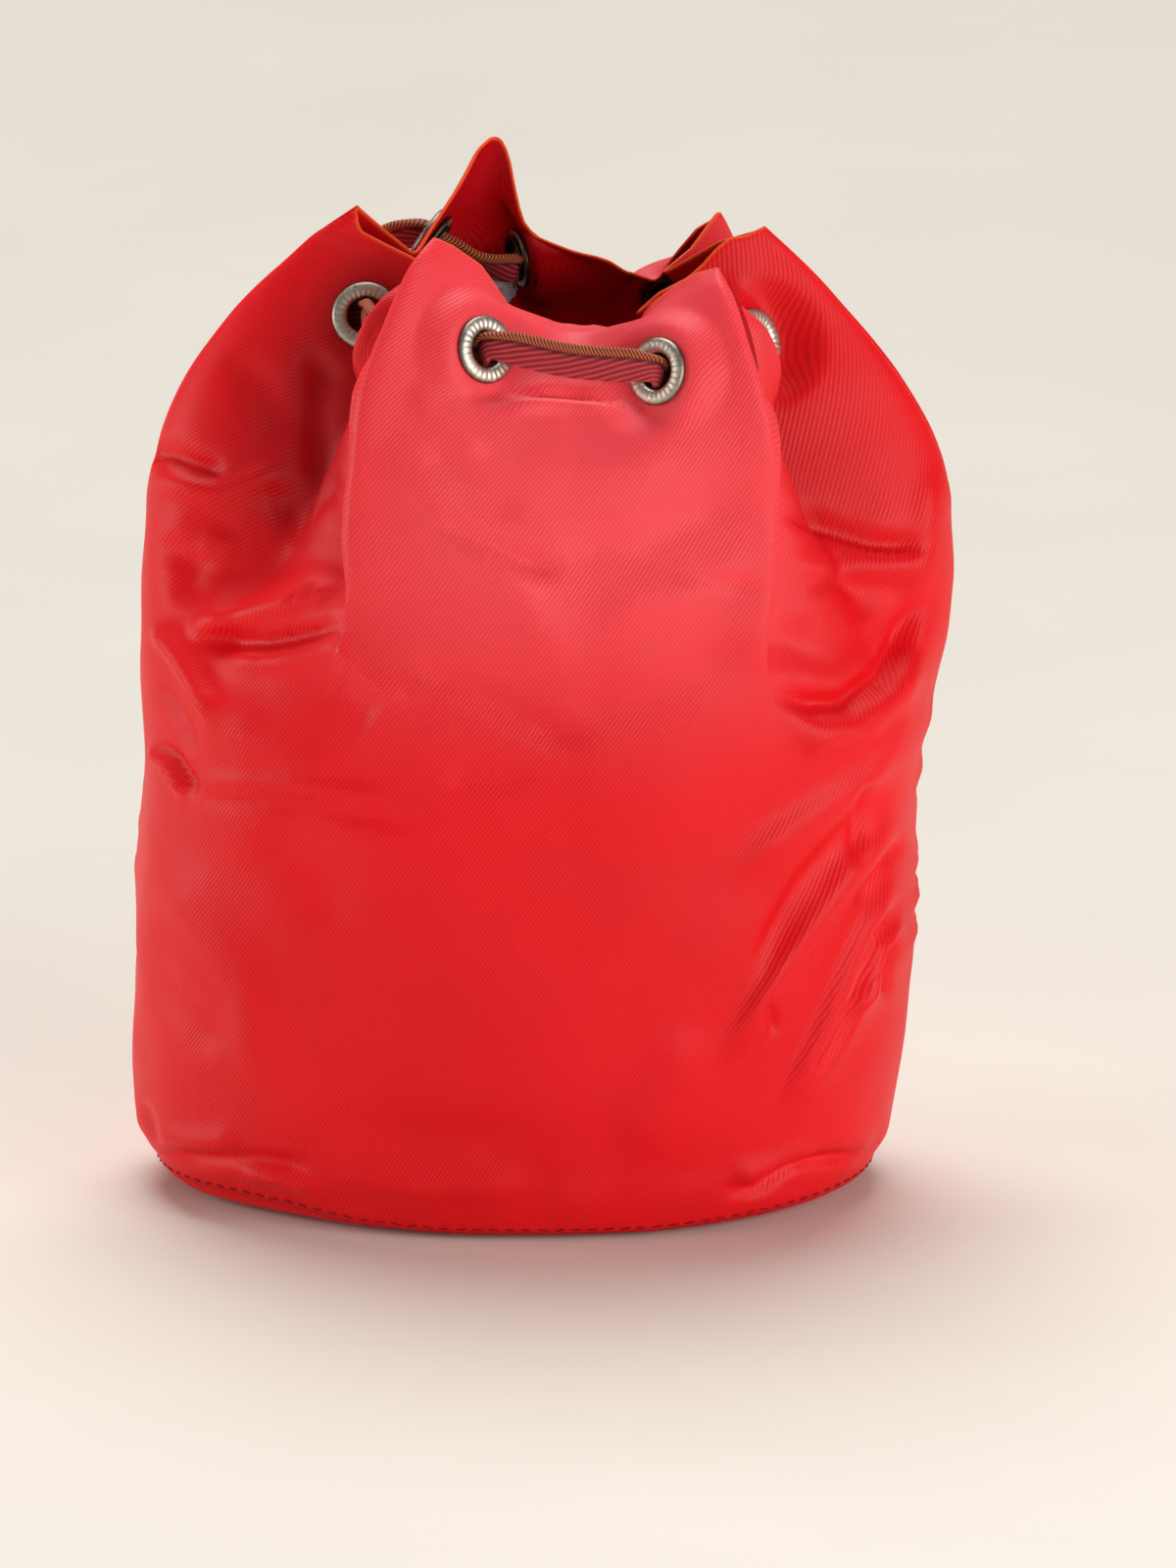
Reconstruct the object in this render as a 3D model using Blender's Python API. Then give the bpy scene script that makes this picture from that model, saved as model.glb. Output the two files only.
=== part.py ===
# Drawstring pouch in nylon twill, drawn nearly shut. Sizes are millimetres; MM turns them into metres.
# The origin is the middle of the flat underside, X runs to the right, Y to the back and Z up.
import math

import bmesh
import bpy
from mathutils import Matrix, Vector

MM = 0.001

# Cloth
CLOTH_THICKNESS = 0.6
CLOTH_HEIGHT = 222.0
SEAM_GAP = 0.3
FLAT_POWER = 2.2

# Body, low to high: height, middle across, whole width and whole depth
BASE_ROW = (2.2, 0.0, 148.0, 88.0)
CORNER_ROW = (13.0, -0.4, 156.0, 97.0)
BELLY_ROW = (50.0, 1.6, 161.0, 106.0)
WAIST_ROW = (90.0, 3.6, 161.0, 108.0)
CHEST_ROW = (125.0, 6.6, 167.0, 105.0)
SHOULDER_ROW = (155.0, 7.6, 166.0, 96.0)

# Ears of the mouth: angle, hem place across, hem place back, drop of the hem, start height, lean
EARS = {
    "front_left": (-28.0, -18.0, -24.5, 13.5, 140.0, 2.6),
    "front_right": (31.0, 44.0, -25.0, 19.5, 140.0, 2.8),
    "right": (90.0, 53.5, 0.0, 17.0, 146.0, 1.4),
    "back_right": (148.0, 44.0, 24.0, 20.5, 140.0, 1.8),
    "back_left": (208.0, -3.5, 27.0, 7.0, 136.0, 1.35),
    "left": (270.0, -33.5, 0.0, 12.5, 146.0, 1.7),
}

# Valleys between the ears, from the middle of the front round to the right, with the same values
VALLEYS = {
    "front": (3.0, 11.5, -13.5, 34.0, 152.0, 1.5),
    "front_side_right": (61.0, 24.0, -7.5, 36.0, 98.0, 1.4),
    "back_side_right": (119.0, 30.0, 8.5, 31.0, 104.0, 1.4),
    "back": (178.0, 22.0, 16.0, 32.0, 148.0, 1.5),
    "back_side_left": (238.0, -20.0, 8.5, 26.0, 104.0, 1.2),
    "front_side_left": (305.0, -10.5, -3.5, 31.0, 104.0, 1.35),
}
FOLD_ROUNDING = 3.2
FOLD_CRISPNESS = 0.4

# Base: a pan of cloth whose turned up edge lies inside the foot of the panels
BASE_THICKNESS = 1.2
BASE_EDGE_HEIGHT = 7.0
BASE_CORNER_RADIUS = 2.0

# Lining: an inner bag that ends under the eyelets
LINING_THICKNESS = 0.5
LINING_GAP = 1.2
LINING_DROP = 66.0
LINING_FLOOR_GAP = 0.4
LINING_FOOT_RADIUS = 2.0

# Clear tag inside the left back ear, under the strap
TAG_WIDTH = 5.0
TAG_LENGTH = 24.0
TAG_THICKNESS = 0.4
TAG_DROP = 27.0
TAG_ANGLE = 200.0
TAG_GAP = 0.6

# Eyelets
EYELET_DIAMETER = 14.0
EYELET_HOLE = 6.6
EYELET_BARREL_WALL = 0.5
EYELET_DOME = 1.2
EYELET_EDGE = 0.6
EYELET_CLEARANCE = 0.35
WASHER_DIAMETER = 12.6
WASHER_THICKNESS = 0.7
CURL_REACH = 0.7
CURL_THICKNESS = 0.6
# Share of the face from its ear, and distance below the hem, for each face round from the front valley
EYELET_SPOTS = (
    (0.57, 22.0), (0.54, 19.0), (0.60, 19.0), (0.54, 19.0), (0.54, 19.0), (0.54, 19.0),
    (0.50, 16.5), (0.40, 14.5), (0.54, 19.0), (0.66, 17.0), (0.54, 19.0), (0.565, 19.6),
)
EYELET_HOLD = 0.25
FLAT_RADIUS = 9.0
FLAT_FADE = 6.0
FOLD_FREE = 0.2

# Drawstring: the route's own points, from the sewn join round the mouth and back to it
STRAP_DIAMETER = 3.6
STRAP_POINT_COUNT = 72
STRAP_STEP_COUNT = 12
STRAP_ROUTE = (
    (14.7, 56.2, 98.0), (3.0, 56.2, 103.0), (-0.5, 54.7, 126.0), (1.5, 51.1, 150.0),
    (3.8, 41.1, 174.5), (3.4, 35.0, 189.0), (2.4, 31.4, 190.6), (0.5, 25.9, 188.3),
    (-7.5, 23.0, 190.3), (-15.0, 22.7, 193.8), (-19.5, 23.7, 196.3), (-31.0, 20.0, 193.0),
    (-39.5, 9.5, 189.0), (-38.5, 5.0, 187.0), (-30.6, -3.5, 185.2), (-30.4, -8.6, 187.0),
    (-28.5, -20.5, 188.0), (-24.5, -23.0, 186.0), (-7.1, -31.1, 183.9), (-5.1, -35.1, 186.9),
    (12.0, -39.0, 184.6), (28.8, -37.9, 182.7), (30.3, -33.9, 179.7), (45.5, -25.0, 182.0),
    (48.5, -21.5, 183.5), (50.0, -9.6, 181.6), (49.5, -4.4, 179.9), (53.5, 4.5, 183.0),
    (55.0, 9.5, 185.0), (54.0, 16.5, 185.0), (50.0, 20.5, 182.5), (46.0, 23.5, 180.5),
    (33.0, 30.5, 180.0), (32.5, 34.5, 183.0), (32.0, 38.0, 183.0), (31.2, 42.5, 172.5),
    (30.3, 50.0, 150.0), (30.0, 53.5, 126.0), (26.5, 55.0, 103.0), (15.3, 56.2, 98.0),
)

# Mesh
FACE_COLUMN_COUNT = 8
RING_COLUMN_COUNT = 4
CORNER_STEP_COUNT = 3
TAG_STEP_COUNT = 5
ROUND_SIDE_COUNT = 12
LOWER_ROWS = (2.2, 7.0, 13.0, 34.0, 68.0, 98.0, 118.0, 136.0)
UPPER_ROW_COUNT = 12


def smooth(share):
    share = min(1.0, max(0.0, share))
    return share * share * (3.0 - 2.0 * share)


def body_rows():
    return (BASE_ROW, CORNER_ROW, BELLY_ROW, WAIST_ROW, CHEST_ROW, SHOULDER_ROW)


def body_size(height):
    # Middle, half width and half depth at a height, on a smooth curve through the rows
    rows = body_rows()
    height = min(max(height, rows[0][0]), rows[-1][0])
    index = 0
    while index < len(rows) - 2 and height > rows[index + 1][0]:
        index += 1
    low, high = rows[index], rows[index + 1]
    before = rows[max(0, index - 1)]
    after = rows[min(len(rows) - 1, index + 2)]
    span = high[0] - low[0]
    share = (height - low[0]) / span
    sizes = []
    for column in (1, 2, 3):
        slope_low = (high[column] - before[column]) / (high[0] - before[0]) * span
        slope_high = (after[column] - low[column]) / (after[0] - low[0]) * span
        value = (
            low[column] * (1 + 2 * share) * (1 - share) ** 2
            + slope_low * share * (1 - share) ** 2
            + high[column] * share ** 2 * (3 - 2 * share)
            + slope_high * share ** 2 * (share - 1)
        )
        sizes.append(value)
    return sizes[0], sizes[1] / 2, sizes[2] / 2


def body_point(angle, height, inset=0.0):
    # A flattened oval; angle 0 is the middle of the front and 90 the right side
    middle, half_width, half_depth = body_size(height)
    turn = math.radians(angle)
    across = math.copysign(abs(math.sin(turn)) ** (2 / FLAT_POWER), math.sin(turn))
    forward = math.copysign(abs(math.cos(turn)) ** (2 / FLAT_POWER), math.cos(turn))
    return Vector((middle + (half_width - inset) * across, -(half_depth - inset) * forward, height))


def fold_lines():
    lines = []
    for name, values in list(EARS.items()) + list(VALLEYS.items()):
        angle, across, back, drop, start, lean = values
        hem = Vector((across, back, CLOTH_HEIGHT - drop))
        lines.append((angle % 360.0, name, hem, start, lean))
    return sorted(lines, key=lambda line: line[0])


FOLDS = fold_lines()


def between_folds(angle):
    # The two fold lines on either side of an angle, and how far it is from the first to the second
    angle = angle % 360.0
    for index, line in enumerate(FOLDS):
        after = FOLDS[(index + 1) % len(FOLDS)]
        span = (after[0] - line[0]) % 360.0
        offset = (angle - line[0]) % 360.0
        if offset < span:
            return line, after, offset / span
    return FOLDS[0], FOLDS[1], 0.0


def hem_point(angle):
    # The hem's plan: straight faces between the folds, with the folds rounded
    total = Vector((0.0, 0.0, 0.0))
    steps = (-1.0, -0.5, 0.0, 0.5, 1.0)
    for step in steps:
        first, second, share = between_folds(angle + step * FOLD_ROUNDING)
        total += first[2].lerp(second[2], share)
    return total / len(steps)


def gather(angle, height):
    # How far the cloth at this height has been drawn in towards the hem's place
    first, second, share = between_folds(angle)
    amounts = []
    for line in (first, second):
        climb = max(0.0, (height - line[3]) / (CLOTH_HEIGHT - line[3]))
        amounts.append(climb ** line[4])
    ease = (1.0 - FOLD_CRISPNESS) * smooth(share) + FOLD_CRISPNESS * share
    return amounts[0] + (amounts[1] - amounts[0]) * ease


def cloth_point(angle, height):
    body = body_point(angle, height)
    body.z = height
    top = body_point(angle, CLOTH_HEIGHT)
    top.z = CLOTH_HEIGHT
    return body + (hem_point(angle) - top) * gather(angle, height)


def cloth_normal(angle, height):
    turn_step = 1.0
    climb_step = 1.5
    around = cloth_point(angle + turn_step, height) - cloth_point(angle - turn_step, height)
    low = max(BASE_ROW[0], height - climb_step)
    high = min(CLOTH_HEIGHT, height + climb_step)
    upward = cloth_point(angle, high) - cloth_point(angle, low)
    return around.cross(upward).normalized()


def height_below_hem(angle, drop):
    # Cloth height of the point that lies this far down the cloth from the hem
    height = CLOTH_HEIGHT
    step = 0.5
    length = 0.0
    last = cloth_point(angle, height)
    while length < drop and height > 0.0:
        height -= step
        point = cloth_point(angle, height)
        length += (point - last).length
        last = point
    return height


def eyelet_places():
    # One eyelet in each face of each ear: its middle on the cloth and its outward direction
    places = []
    for index, line in enumerate(FOLDS):
        after = FOLDS[(index + 1) % len(FOLDS)]
        span = (after[0] - line[0]) % 360.0
        from_ear, drop = EYELET_SPOTS[index]
        angle = line[0] + span * (from_ear if line[1] in EARS else 1.0 - from_ear)
        height = height_below_hem(angle, drop)
        turn = span * EYELET_HOLD
        around = cloth_point(angle + turn, height) - cloth_point(angle - turn, height)
        reach = EYELET_DIAMETER / 2
        upward = cloth_point(angle, height + reach) - cloth_point(angle, height - reach)
        places.append((cloth_point(angle, height), around.cross(upward).normalized()))
    return places


EYELETS = eyelet_places()


def clamped(angle, height):
    # Point and normal of the cloth, which lies flat where an eyelet's flange and washer clamp it
    point = cloth_point(angle, height)
    normal = cloth_normal(angle, height)
    first, second, share = between_folds(angle)
    middle, outward = EYELETS[FOLDS.index(first)]
    near_fold = smooth(min(share, 1.0 - share) / FOLD_FREE)
    hold = near_fold * (1.0 - smooth(((point - middle).length - FLAT_RADIUS) / FLAT_FADE))
    point = point - outward * ((point - middle).dot(outward) * hold)
    return point, normal.lerp(outward, hold).normalized()


def cloth_skin(angles, heights, inset, thickness, edge=0.0):
    # Outer and inner points of a wall that lies inset from the cloth's outer face; edge draws its ends in
    shifts = [edge] + [0.0] * (len(angles) - 2) + [-edge]
    outer, inner = [], []
    for height in heights:
        outer_row, inner_row = [], []
        for angle, shift in zip(angles, shifts):
            normal = clamped(angle, height)[1]
            point = clamped(angle + shift, height)[0]
            outer_row.append(point - normal * inset)
            inner_row.append(point - normal * (inset + thickness))
        outer.append(outer_row)
        inner.append(inner_row)
    return outer, inner


def material(name, colour, roughness, metallic=0.0):
    finish = bpy.data.materials.new(name)
    finish.use_nodes = True
    shader = finish.node_tree.nodes["Principled BSDF"]
    shader.inputs["Base Color"].default_value = (*colour, 1.0)
    shader.inputs["Roughness"].default_value = roughness
    shader.inputs["Metallic"].default_value = metallic
    return finish


def add_object(name, mesh_builder, finish, place=None):
    # Turns a bmesh in millimetres into a named object in metres
    if place is not None:
        bmesh.ops.transform(mesh_builder, matrix=place, verts=mesh_builder.verts)
    bmesh.ops.scale(mesh_builder, vec=(MM, MM, MM), verts=mesh_builder.verts)
    bmesh.ops.recalc_face_normals(mesh_builder, faces=mesh_builder.faces)
    mesh = bpy.data.meshes.new(name)
    mesh_builder.to_mesh(mesh)
    mesh_builder.free()
    mesh.shade_smooth()
    mesh.set_sharp_from_angle(angle=math.radians(40))
    mesh.materials.append(finish)
    piece = bpy.data.objects.new(name, mesh)
    bpy.context.collection.objects.link(piece)
    return piece


def rings_mesh(rings):
    # A body lofted through rings of equal count; the end rings are filled with fans
    builder = bmesh.new()
    rows = [[builder.verts.new(point) for point in ring] for ring in rings]
    count = len(rows[0])
    for low, high in zip(rows, rows[1:]):
        for index in range(count):
            after = (index + 1) % count
            builder.faces.new((low[index], low[after], high[after], high[index]))
    for row in (rows[0], rows[-1]):
        middle = builder.verts.new(sum((vert.co for vert in row), Vector()) / count)
        for index in range(count):
            builder.faces.new((row[index], row[(index + 1) % count], middle))
    return builder


def panel_mesh(outer, inner):
    # A curved strip of cloth with a front, a back and four edges
    builder = bmesh.new()
    front = [[builder.verts.new(point) for point in row] for row in outer]
    back = [[builder.verts.new(point) for point in row] for row in inner]
    rows, columns = len(front), len(front[0])
    for row in range(rows - 1):
        for column in range(columns - 1):
            for side in (front, back):
                builder.faces.new((
                    side[row][column], side[row][column + 1],
                    side[row + 1][column + 1], side[row + 1][column],
                ))
    for row in range(rows - 1):
        for column in (0, columns - 1):
            builder.faces.new((
                front[row][column], front[row + 1][column], back[row + 1][column], back[row][column],
            ))
    for column in range(columns - 1):
        for row in (0, rows - 1):
            builder.faces.new((
                front[row][column], front[row][column + 1], back[row][column + 1], back[row][column],
            ))
    return builder


def turned_mesh(profile):
    # A ring turned about Z from a closed profile of radius and height
    builder = bmesh.new()
    rows = []
    for index in range(ROUND_SIDE_COUNT):
        turn = 2 * math.pi * index / ROUND_SIDE_COUNT
        rows.append([
            builder.verts.new((radius * math.cos(turn), radius * math.sin(turn), height))
            for radius, height in profile
        ])
    count = len(profile)
    for index in range(ROUND_SIDE_COUNT):
        row, after = rows[index], rows[(index + 1) % ROUND_SIDE_COUNT]
        for point in range(count):
            following = (point + 1) % count
            builder.faces.new((row[point], row[following], after[following], after[point]))
    return builder


def standing(middle, outward):
    # Places a turned ring so that its axis points out of the cloth
    return Matrix.Translation(middle) @ outward.to_track_quat("Z", "Y").to_matrix().to_4x4()


def wall_heights():
    heights = list(LOWER_ROWS)
    step = (CLOTH_HEIGHT - heights[-1]) / UPPER_ROW_COUNT
    for index in range(UPPER_ROW_COUNT):
        heights.append(heights[-1] + step)
    return heights


def panel_angles(first_ear, last_ear):
    # Columns of one panel, from one side seam round to the other
    stops = [EARS[first_ear][0]]
    end = EARS[last_ear][0]
    if end < stops[0]:
        stops[0] -= 360.0
    stops += [line[0] + turn for turn in (-360.0, 0.0) for line in FOLDS if stops[0] < line[0] + turn < end]
    stops.append(end)
    return face_angles(stops, FACE_COLUMN_COUNT)


def face_angles(stops, columns):
    # Even columns between the fold lines, so that each fold has a column of its own
    angles = []
    for low, high in zip(stops, stops[1:]):
        angles += [low + (high - low) * step / columns for step in range(columns)]
    angles.append(stops[-1])
    return angles


def hole_cutter():
    # Pins through the cloth, one at each eyelet, joined in one cutter
    builder = bmesh.new()
    radius = EYELET_HOLE / 2 + EYELET_BARREL_WALL + EYELET_CLEARANCE
    reach = 3 * CLOTH_THICKNESS
    for middle, outward in EYELETS:
        made = bmesh.ops.create_cone(
            builder, cap_ends=True, segments=ROUND_SIDE_COUNT,
            radius1=radius, radius2=radius, depth=2 * reach,
        )
        bmesh.ops.transform(builder, matrix=standing(middle, outward), verts=made["verts"])
    cutter = add_object("hole_cutter", builder, material("cutter", (0.5, 0.5, 0.5), 0.5))
    cutter.hide_render = True
    cutter.display_type = "WIRE"
    return cutter


def panel(name, first_ear, last_ear, finish, cutter):
    half_gap = math.degrees(SEAM_GAP / 2 / (BASE_ROW[3] / 2))
    angles = panel_angles(first_ear, last_ear)
    outer, inner = cloth_skin(angles, wall_heights(), 0.0, CLOTH_THICKNESS, half_gap)
    piece = add_object(name, panel_mesh(outer, inner), finish)
    holes = piece.modifiers.new("eyelet_holes", "BOOLEAN")
    holes.object = cutter
    return piece


def round_angles():
    # Columns of a closed ring, aligned with the fold lines
    stops = [line[0] for line in FOLDS]
    return face_angles(stops + [stops[0] + 360.0], RING_COLUMN_COUNT)[:-1]


def oval(inset, height):
    ring = []
    for angle in round_angles():
        point = body_point(angle, BASE_ROW[0], inset)
        ring.append(Vector((point.x, point.y, height)))
    return ring


def base_panel(finish):
    edge = CLOTH_THICKNESS + SEAM_GAP
    radius = BASE_CORNER_RADIUS
    rings = []
    for step in range(CORNER_STEP_COUNT + 1):
        turn = math.radians(90 * step / CORNER_STEP_COUNT)
        rings.append(oval(edge + radius * (1 - math.sin(turn)), radius * (1 - math.cos(turn))))
    rings.append(oval(edge, BASE_EDGE_HEIGHT))
    rings.append(oval(edge + BASE_THICKNESS, BASE_EDGE_HEIGHT))
    rings.append(oval(edge + BASE_THICKNESS, BASE_THICKNESS + radius))
    rings.append(oval(edge + BASE_THICKNESS + radius / 2, BASE_THICKNESS))
    return add_object("base_panel", rings_mesh(rings), finish)


def lining(finish):
    over_edge = BASE_EDGE_HEIGHT + LINING_FLOOR_GAP
    top = CLOTH_HEIGHT - LINING_DROP
    low = over_edge + LINING_FOOT_RADIUS
    heights = [low] + [height for height in LOWER_ROWS if low < height < top] + [top]
    inset = CLOTH_THICKNESS + LINING_GAP
    outer, inner = cloth_skin(round_angles(), heights, inset, LINING_THICKNESS)
    foot = CLOTH_THICKNESS + SEAM_GAP + BASE_THICKNESS + LINING_GAP
    inner_foot = foot + LINING_THICKNESS
    floor = BASE_THICKNESS + LINING_FLOOR_GAP
    rings = [
        oval(foot + LINING_FOOT_RADIUS, floor),
        oval(foot, floor + LINING_FOOT_RADIUS),
        oval(foot, over_edge),
    ]
    rings += outer + list(reversed(inner))
    rings += [
        oval(inner_foot, over_edge + LINING_THICKNESS),
        oval(inner_foot, floor + LINING_FOOT_RADIUS),
        oval(inner_foot + LINING_FOOT_RADIUS, floor + LINING_THICKNESS),
    ]
    return add_object("lining", rings_mesh(rings), finish)


def inner_tag(finish):
    top = height_below_hem(TAG_ANGLE, TAG_DROP)
    half_turn = math.degrees(TAG_WIDTH / 2 / (SHOULDER_ROW[3] / 2))
    angles = [TAG_ANGLE - half_turn, TAG_ANGLE, TAG_ANGLE + half_turn]
    heights = [top - TAG_LENGTH * (1 - step / TAG_STEP_COUNT) for step in range(TAG_STEP_COUNT + 1)]
    outer, inner = cloth_skin(angles, heights, CLOTH_THICKNESS + TAG_GAP, TAG_THICKNESS)
    return add_object("inner_tag", panel_mesh(outer, inner), finish)


def eyelet_profile():
    # Domed flange outside, barrel through the cloth, and a curl over the washer
    bore = EYELET_HOLE / 2
    barrel = bore + EYELET_BARREL_WALL
    rim = EYELET_DIAMETER / 2
    seat = SEAM_GAP
    washer_back = -(CLOTH_THICKNESS + 2 * SEAM_GAP + WASHER_THICKNESS)
    curl = barrel + CURL_REACH
    return [
        (bore, washer_back - SEAM_GAP - CURL_THICKNESS),
        (curl, washer_back - SEAM_GAP - CURL_THICKNESS / 2),
        (curl, washer_back - SEAM_GAP),
        (barrel, washer_back - SEAM_GAP),
        (barrel, seat),
        (rim, seat),
        (rim - EYELET_EDGE, seat + EYELET_DOME - EYELET_EDGE / 2),
        ((rim + bore) / 2, seat + EYELET_DOME),
        (bore + EYELET_EDGE, seat + EYELET_DOME - EYELET_EDGE / 2),
        (bore, seat),
    ]


def washer_profile():
    bore = EYELET_HOLE / 2 + EYELET_BARREL_WALL + SEAM_GAP / 2
    rim = WASHER_DIAMETER / 2
    face = -(CLOTH_THICKNESS + SEAM_GAP)
    return [
        (bore, face - WASHER_THICKNESS),
        (rim, face - WASHER_THICKNESS),
        (rim, face),
        (bore, face),
    ]


def eyelets(metal):
    for index, (middle, outward) in enumerate(EYELETS, 1):
        place = standing(middle, outward)
        add_object(f"eyelet_{index:02d}", turned_mesh(eyelet_profile()), metal, place)
        add_object(f"washer_{index:02d}", turned_mesh(washer_profile()), metal, place)


def curve_point(a, b, c, d, share):
    # A point between b and c on a centripetal curve, which stays close to unevenly spaced points
    knots = [0.0]
    for first, second in ((a, b), (b, c), (c, d)):
        knots.append(knots[-1] + max((second - first).length, 0.001) ** 0.5)
    at = knots[1] + (knots[2] - knots[1]) * share

    def blend(first, second, low, high):
        return first.lerp(second, (at - knots[low]) / (knots[high] - knots[low]))

    ab, bc, cd = blend(a, b, 0, 1), blend(b, c, 1, 2), blend(c, d, 2, 3)
    return blend(blend(ab, bc, 0, 2), blend(bc, cd, 1, 3), 1, 2)


def smooth_route(points, count):
    # Points at even distances along a smooth curve through the route's own points
    ends = [points[0] * 2 - points[1]] + points + [points[-1] * 2 - points[-2]]
    fine = []
    for index in range(len(points) - 1):
        near = ends[index:index + 4]
        fine += [curve_point(*near, step / STRAP_STEP_COUNT) for step in range(STRAP_STEP_COUNT)]
    fine.append(points[-1])
    lengths = [0.0]
    for first, second in zip(fine, fine[1:]):
        lengths.append(lengths[-1] + (second - first).length)
    even = []
    index = 0
    for number in range(count):
        wanted = lengths[-1] * number / (count - 1)
        while index < len(fine) - 2 and lengths[index + 1] < wanted:
            index += 1
        share = (wanted - lengths[index]) / (lengths[index + 1] - lengths[index])
        even.append(fine[index].lerp(fine[index + 1], share))
    return even


def drawstring(finish):
    points = smooth_route([Vector(point) for point in STRAP_ROUTE], STRAP_POINT_COUNT)
    curve = bpy.data.curves.new("drawstring", "CURVE")
    curve.dimensions = "3D"
    curve.bevel_depth = STRAP_DIAMETER / 2 * MM
    curve.bevel_resolution = 2
    curve.use_fill_caps = True
    line = curve.splines.new("POLY")
    line.points.add(len(points) - 1)
    for spot, point in zip(line.points, points):
        spot.co = (*(point * MM), 1.0)
    curve.materials.append(finish)
    piece = bpy.data.objects.new("drawstring", curve)
    bpy.context.collection.objects.link(piece)
    return piece


def build():
    for old in list(bpy.data.objects):
        bpy.data.objects.remove(old)
    red = material("red_twill", (0.72, 0.02, 0.03), 0.55)
    red_back = material("red_twill_back", (0.68, 0.02, 0.03), 0.55)
    red_base = material("red_twill_base", (0.6, 0.015, 0.025), 0.6)
    plum = material("plum_lining", (0.25, 0.03, 0.12), 0.6)
    clear = material("clear_tag", (0.8, 0.78, 0.8), 0.25)
    pewter = material("antique_pewter", (0.33, 0.31, 0.28), 0.4, 1.0)
    strap = material("red_strap", (0.35, 0.02, 0.03), 0.6)
    cutter = hole_cutter()
    panel("front_panel", "left", "right", red, cutter)
    panel("back_panel", "right", "left", red_back, cutter)
    base_panel(red_base)
    lining(plum)
    inner_tag(clear)
    eyelets(pewter)
    drawstring(strap)


build()
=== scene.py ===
import math

import bmesh
import bpy
import numpy as np
from mathutils import Matrix, Vector, noise


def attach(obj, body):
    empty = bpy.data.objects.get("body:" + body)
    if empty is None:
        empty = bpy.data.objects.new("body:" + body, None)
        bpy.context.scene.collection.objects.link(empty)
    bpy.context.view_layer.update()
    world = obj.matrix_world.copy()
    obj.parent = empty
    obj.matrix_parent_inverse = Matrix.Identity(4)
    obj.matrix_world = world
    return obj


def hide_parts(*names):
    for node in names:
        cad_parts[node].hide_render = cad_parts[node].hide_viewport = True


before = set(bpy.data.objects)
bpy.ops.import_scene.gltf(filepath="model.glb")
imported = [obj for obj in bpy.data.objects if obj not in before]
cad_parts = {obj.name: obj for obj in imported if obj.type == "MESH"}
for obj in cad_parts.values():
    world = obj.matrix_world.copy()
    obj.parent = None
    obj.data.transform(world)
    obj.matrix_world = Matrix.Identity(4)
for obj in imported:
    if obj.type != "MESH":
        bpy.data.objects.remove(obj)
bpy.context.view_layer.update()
mm = 0.001

# camera first: every fold below is placed as this camera sees it
photo = {
    "wide": 1200.0,          # frame, px
    "tall": 1600.0,
    "mmPerPixel": 0.203,     # at the target
    "distance": 3600.0,      # mm, a long lens from across the room
    "tilt": 15.5,            # degrees down
    "target": (15.2, 0.0, 84.6),
}


def cameraFrame():
    tilt = math.radians(photo["tilt"])
    right = np.array([1.0, 0.0, 0.0])
    toCamera = np.array([0.0, -math.cos(tilt), math.sin(tilt)])
    up = np.array([0.0, math.sin(tilt), math.cos(tilt)])
    return right, up, toCamera


def makeCamera():
    right, up, toCamera = cameraFrame()
    data = bpy.data.cameras.new("photoCamera")
    data.sensor_fit = "VERTICAL"
    data.sensor_height = 36.0
    data.lens = data.sensor_height * photo["distance"] / (photo["tall"] * photo["mmPerPixel"])
    data.clip_start = 0.05
    data.clip_end = 30.0
    camera = bpy.data.objects.new("photoCamera", data)
    bpy.context.collection.objects.link(camera)
    place = Matrix((
        (right[0], up[0], toCamera[0], 0.0),
        (right[1], up[1], toCamera[1], 0.0),
        (right[2], up[2], toCamera[2], 0.0),
        (0.0, 0.0, 0.0, 1.0),
    ))
    place.translation = (Vector(photo["target"]) + Vector(toCamera) * photo["distance"]) * mm
    camera.matrix_world = place
    bpy.context.scene.camera = camera


makeCamera()
print("camera placed")


# small helpers
def smoothStep(share):
    share = np.clip(share, 0.0, 1.0)
    return share * share * (3.0 - 2.0 * share)


def rise(value, start, over):
    # 0 up to start, then smoothly to 1
    return smoothStep((value - start) / over)


def bell(value, middle, spread, power=2):
    return np.exp(-(((value - middle) / spread) ** power))


def turnFrom(angle, middle):
    return np.mod(angle - middle + 180.0, 360.0) - 180.0


def unit(vectors):
    length = np.linalg.norm(vectors, axis=-1, keepdims=True)
    return vectors / np.maximum(length, 1e-9)


def runLengths(points):
    # distance gone at each point of a line
    return np.concatenate([[0.0], np.cumsum(np.linalg.norm(np.diff(points, axis=0), axis=1))])


def pointsAt(wanted, lengths, line):
    return np.stack([np.interp(wanted, lengths, line[:, axis]) for axis in range(3)], axis=1)


def gridNormals(points):
    around = np.gradient(points, axis=1)
    upward = np.gradient(points, axis=0)
    return unit(np.cross(around, upward))


def noiseField(points, scale, seed):
    flat = points.reshape(-1, 3) * scale + seed
    values = [noise.noise(Vector(point)) for point in flat]
    return np.array(values).reshape(points.shape[:-1])


def seenFromCamera(points):
    # places in the picture, in px from its top left corner
    right, up, toCamera = cameraFrame()
    offset = points - np.array(photo["target"])
    depth = photo["distance"] - offset @ toCamera
    scale = photo["distance"] / depth / photo["mmPerPixel"]
    return np.stack([photo["wide"] / 2 + offset @ right * scale,
                     photo["tall"] / 2 - offset @ up * scale], axis=-1)


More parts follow.
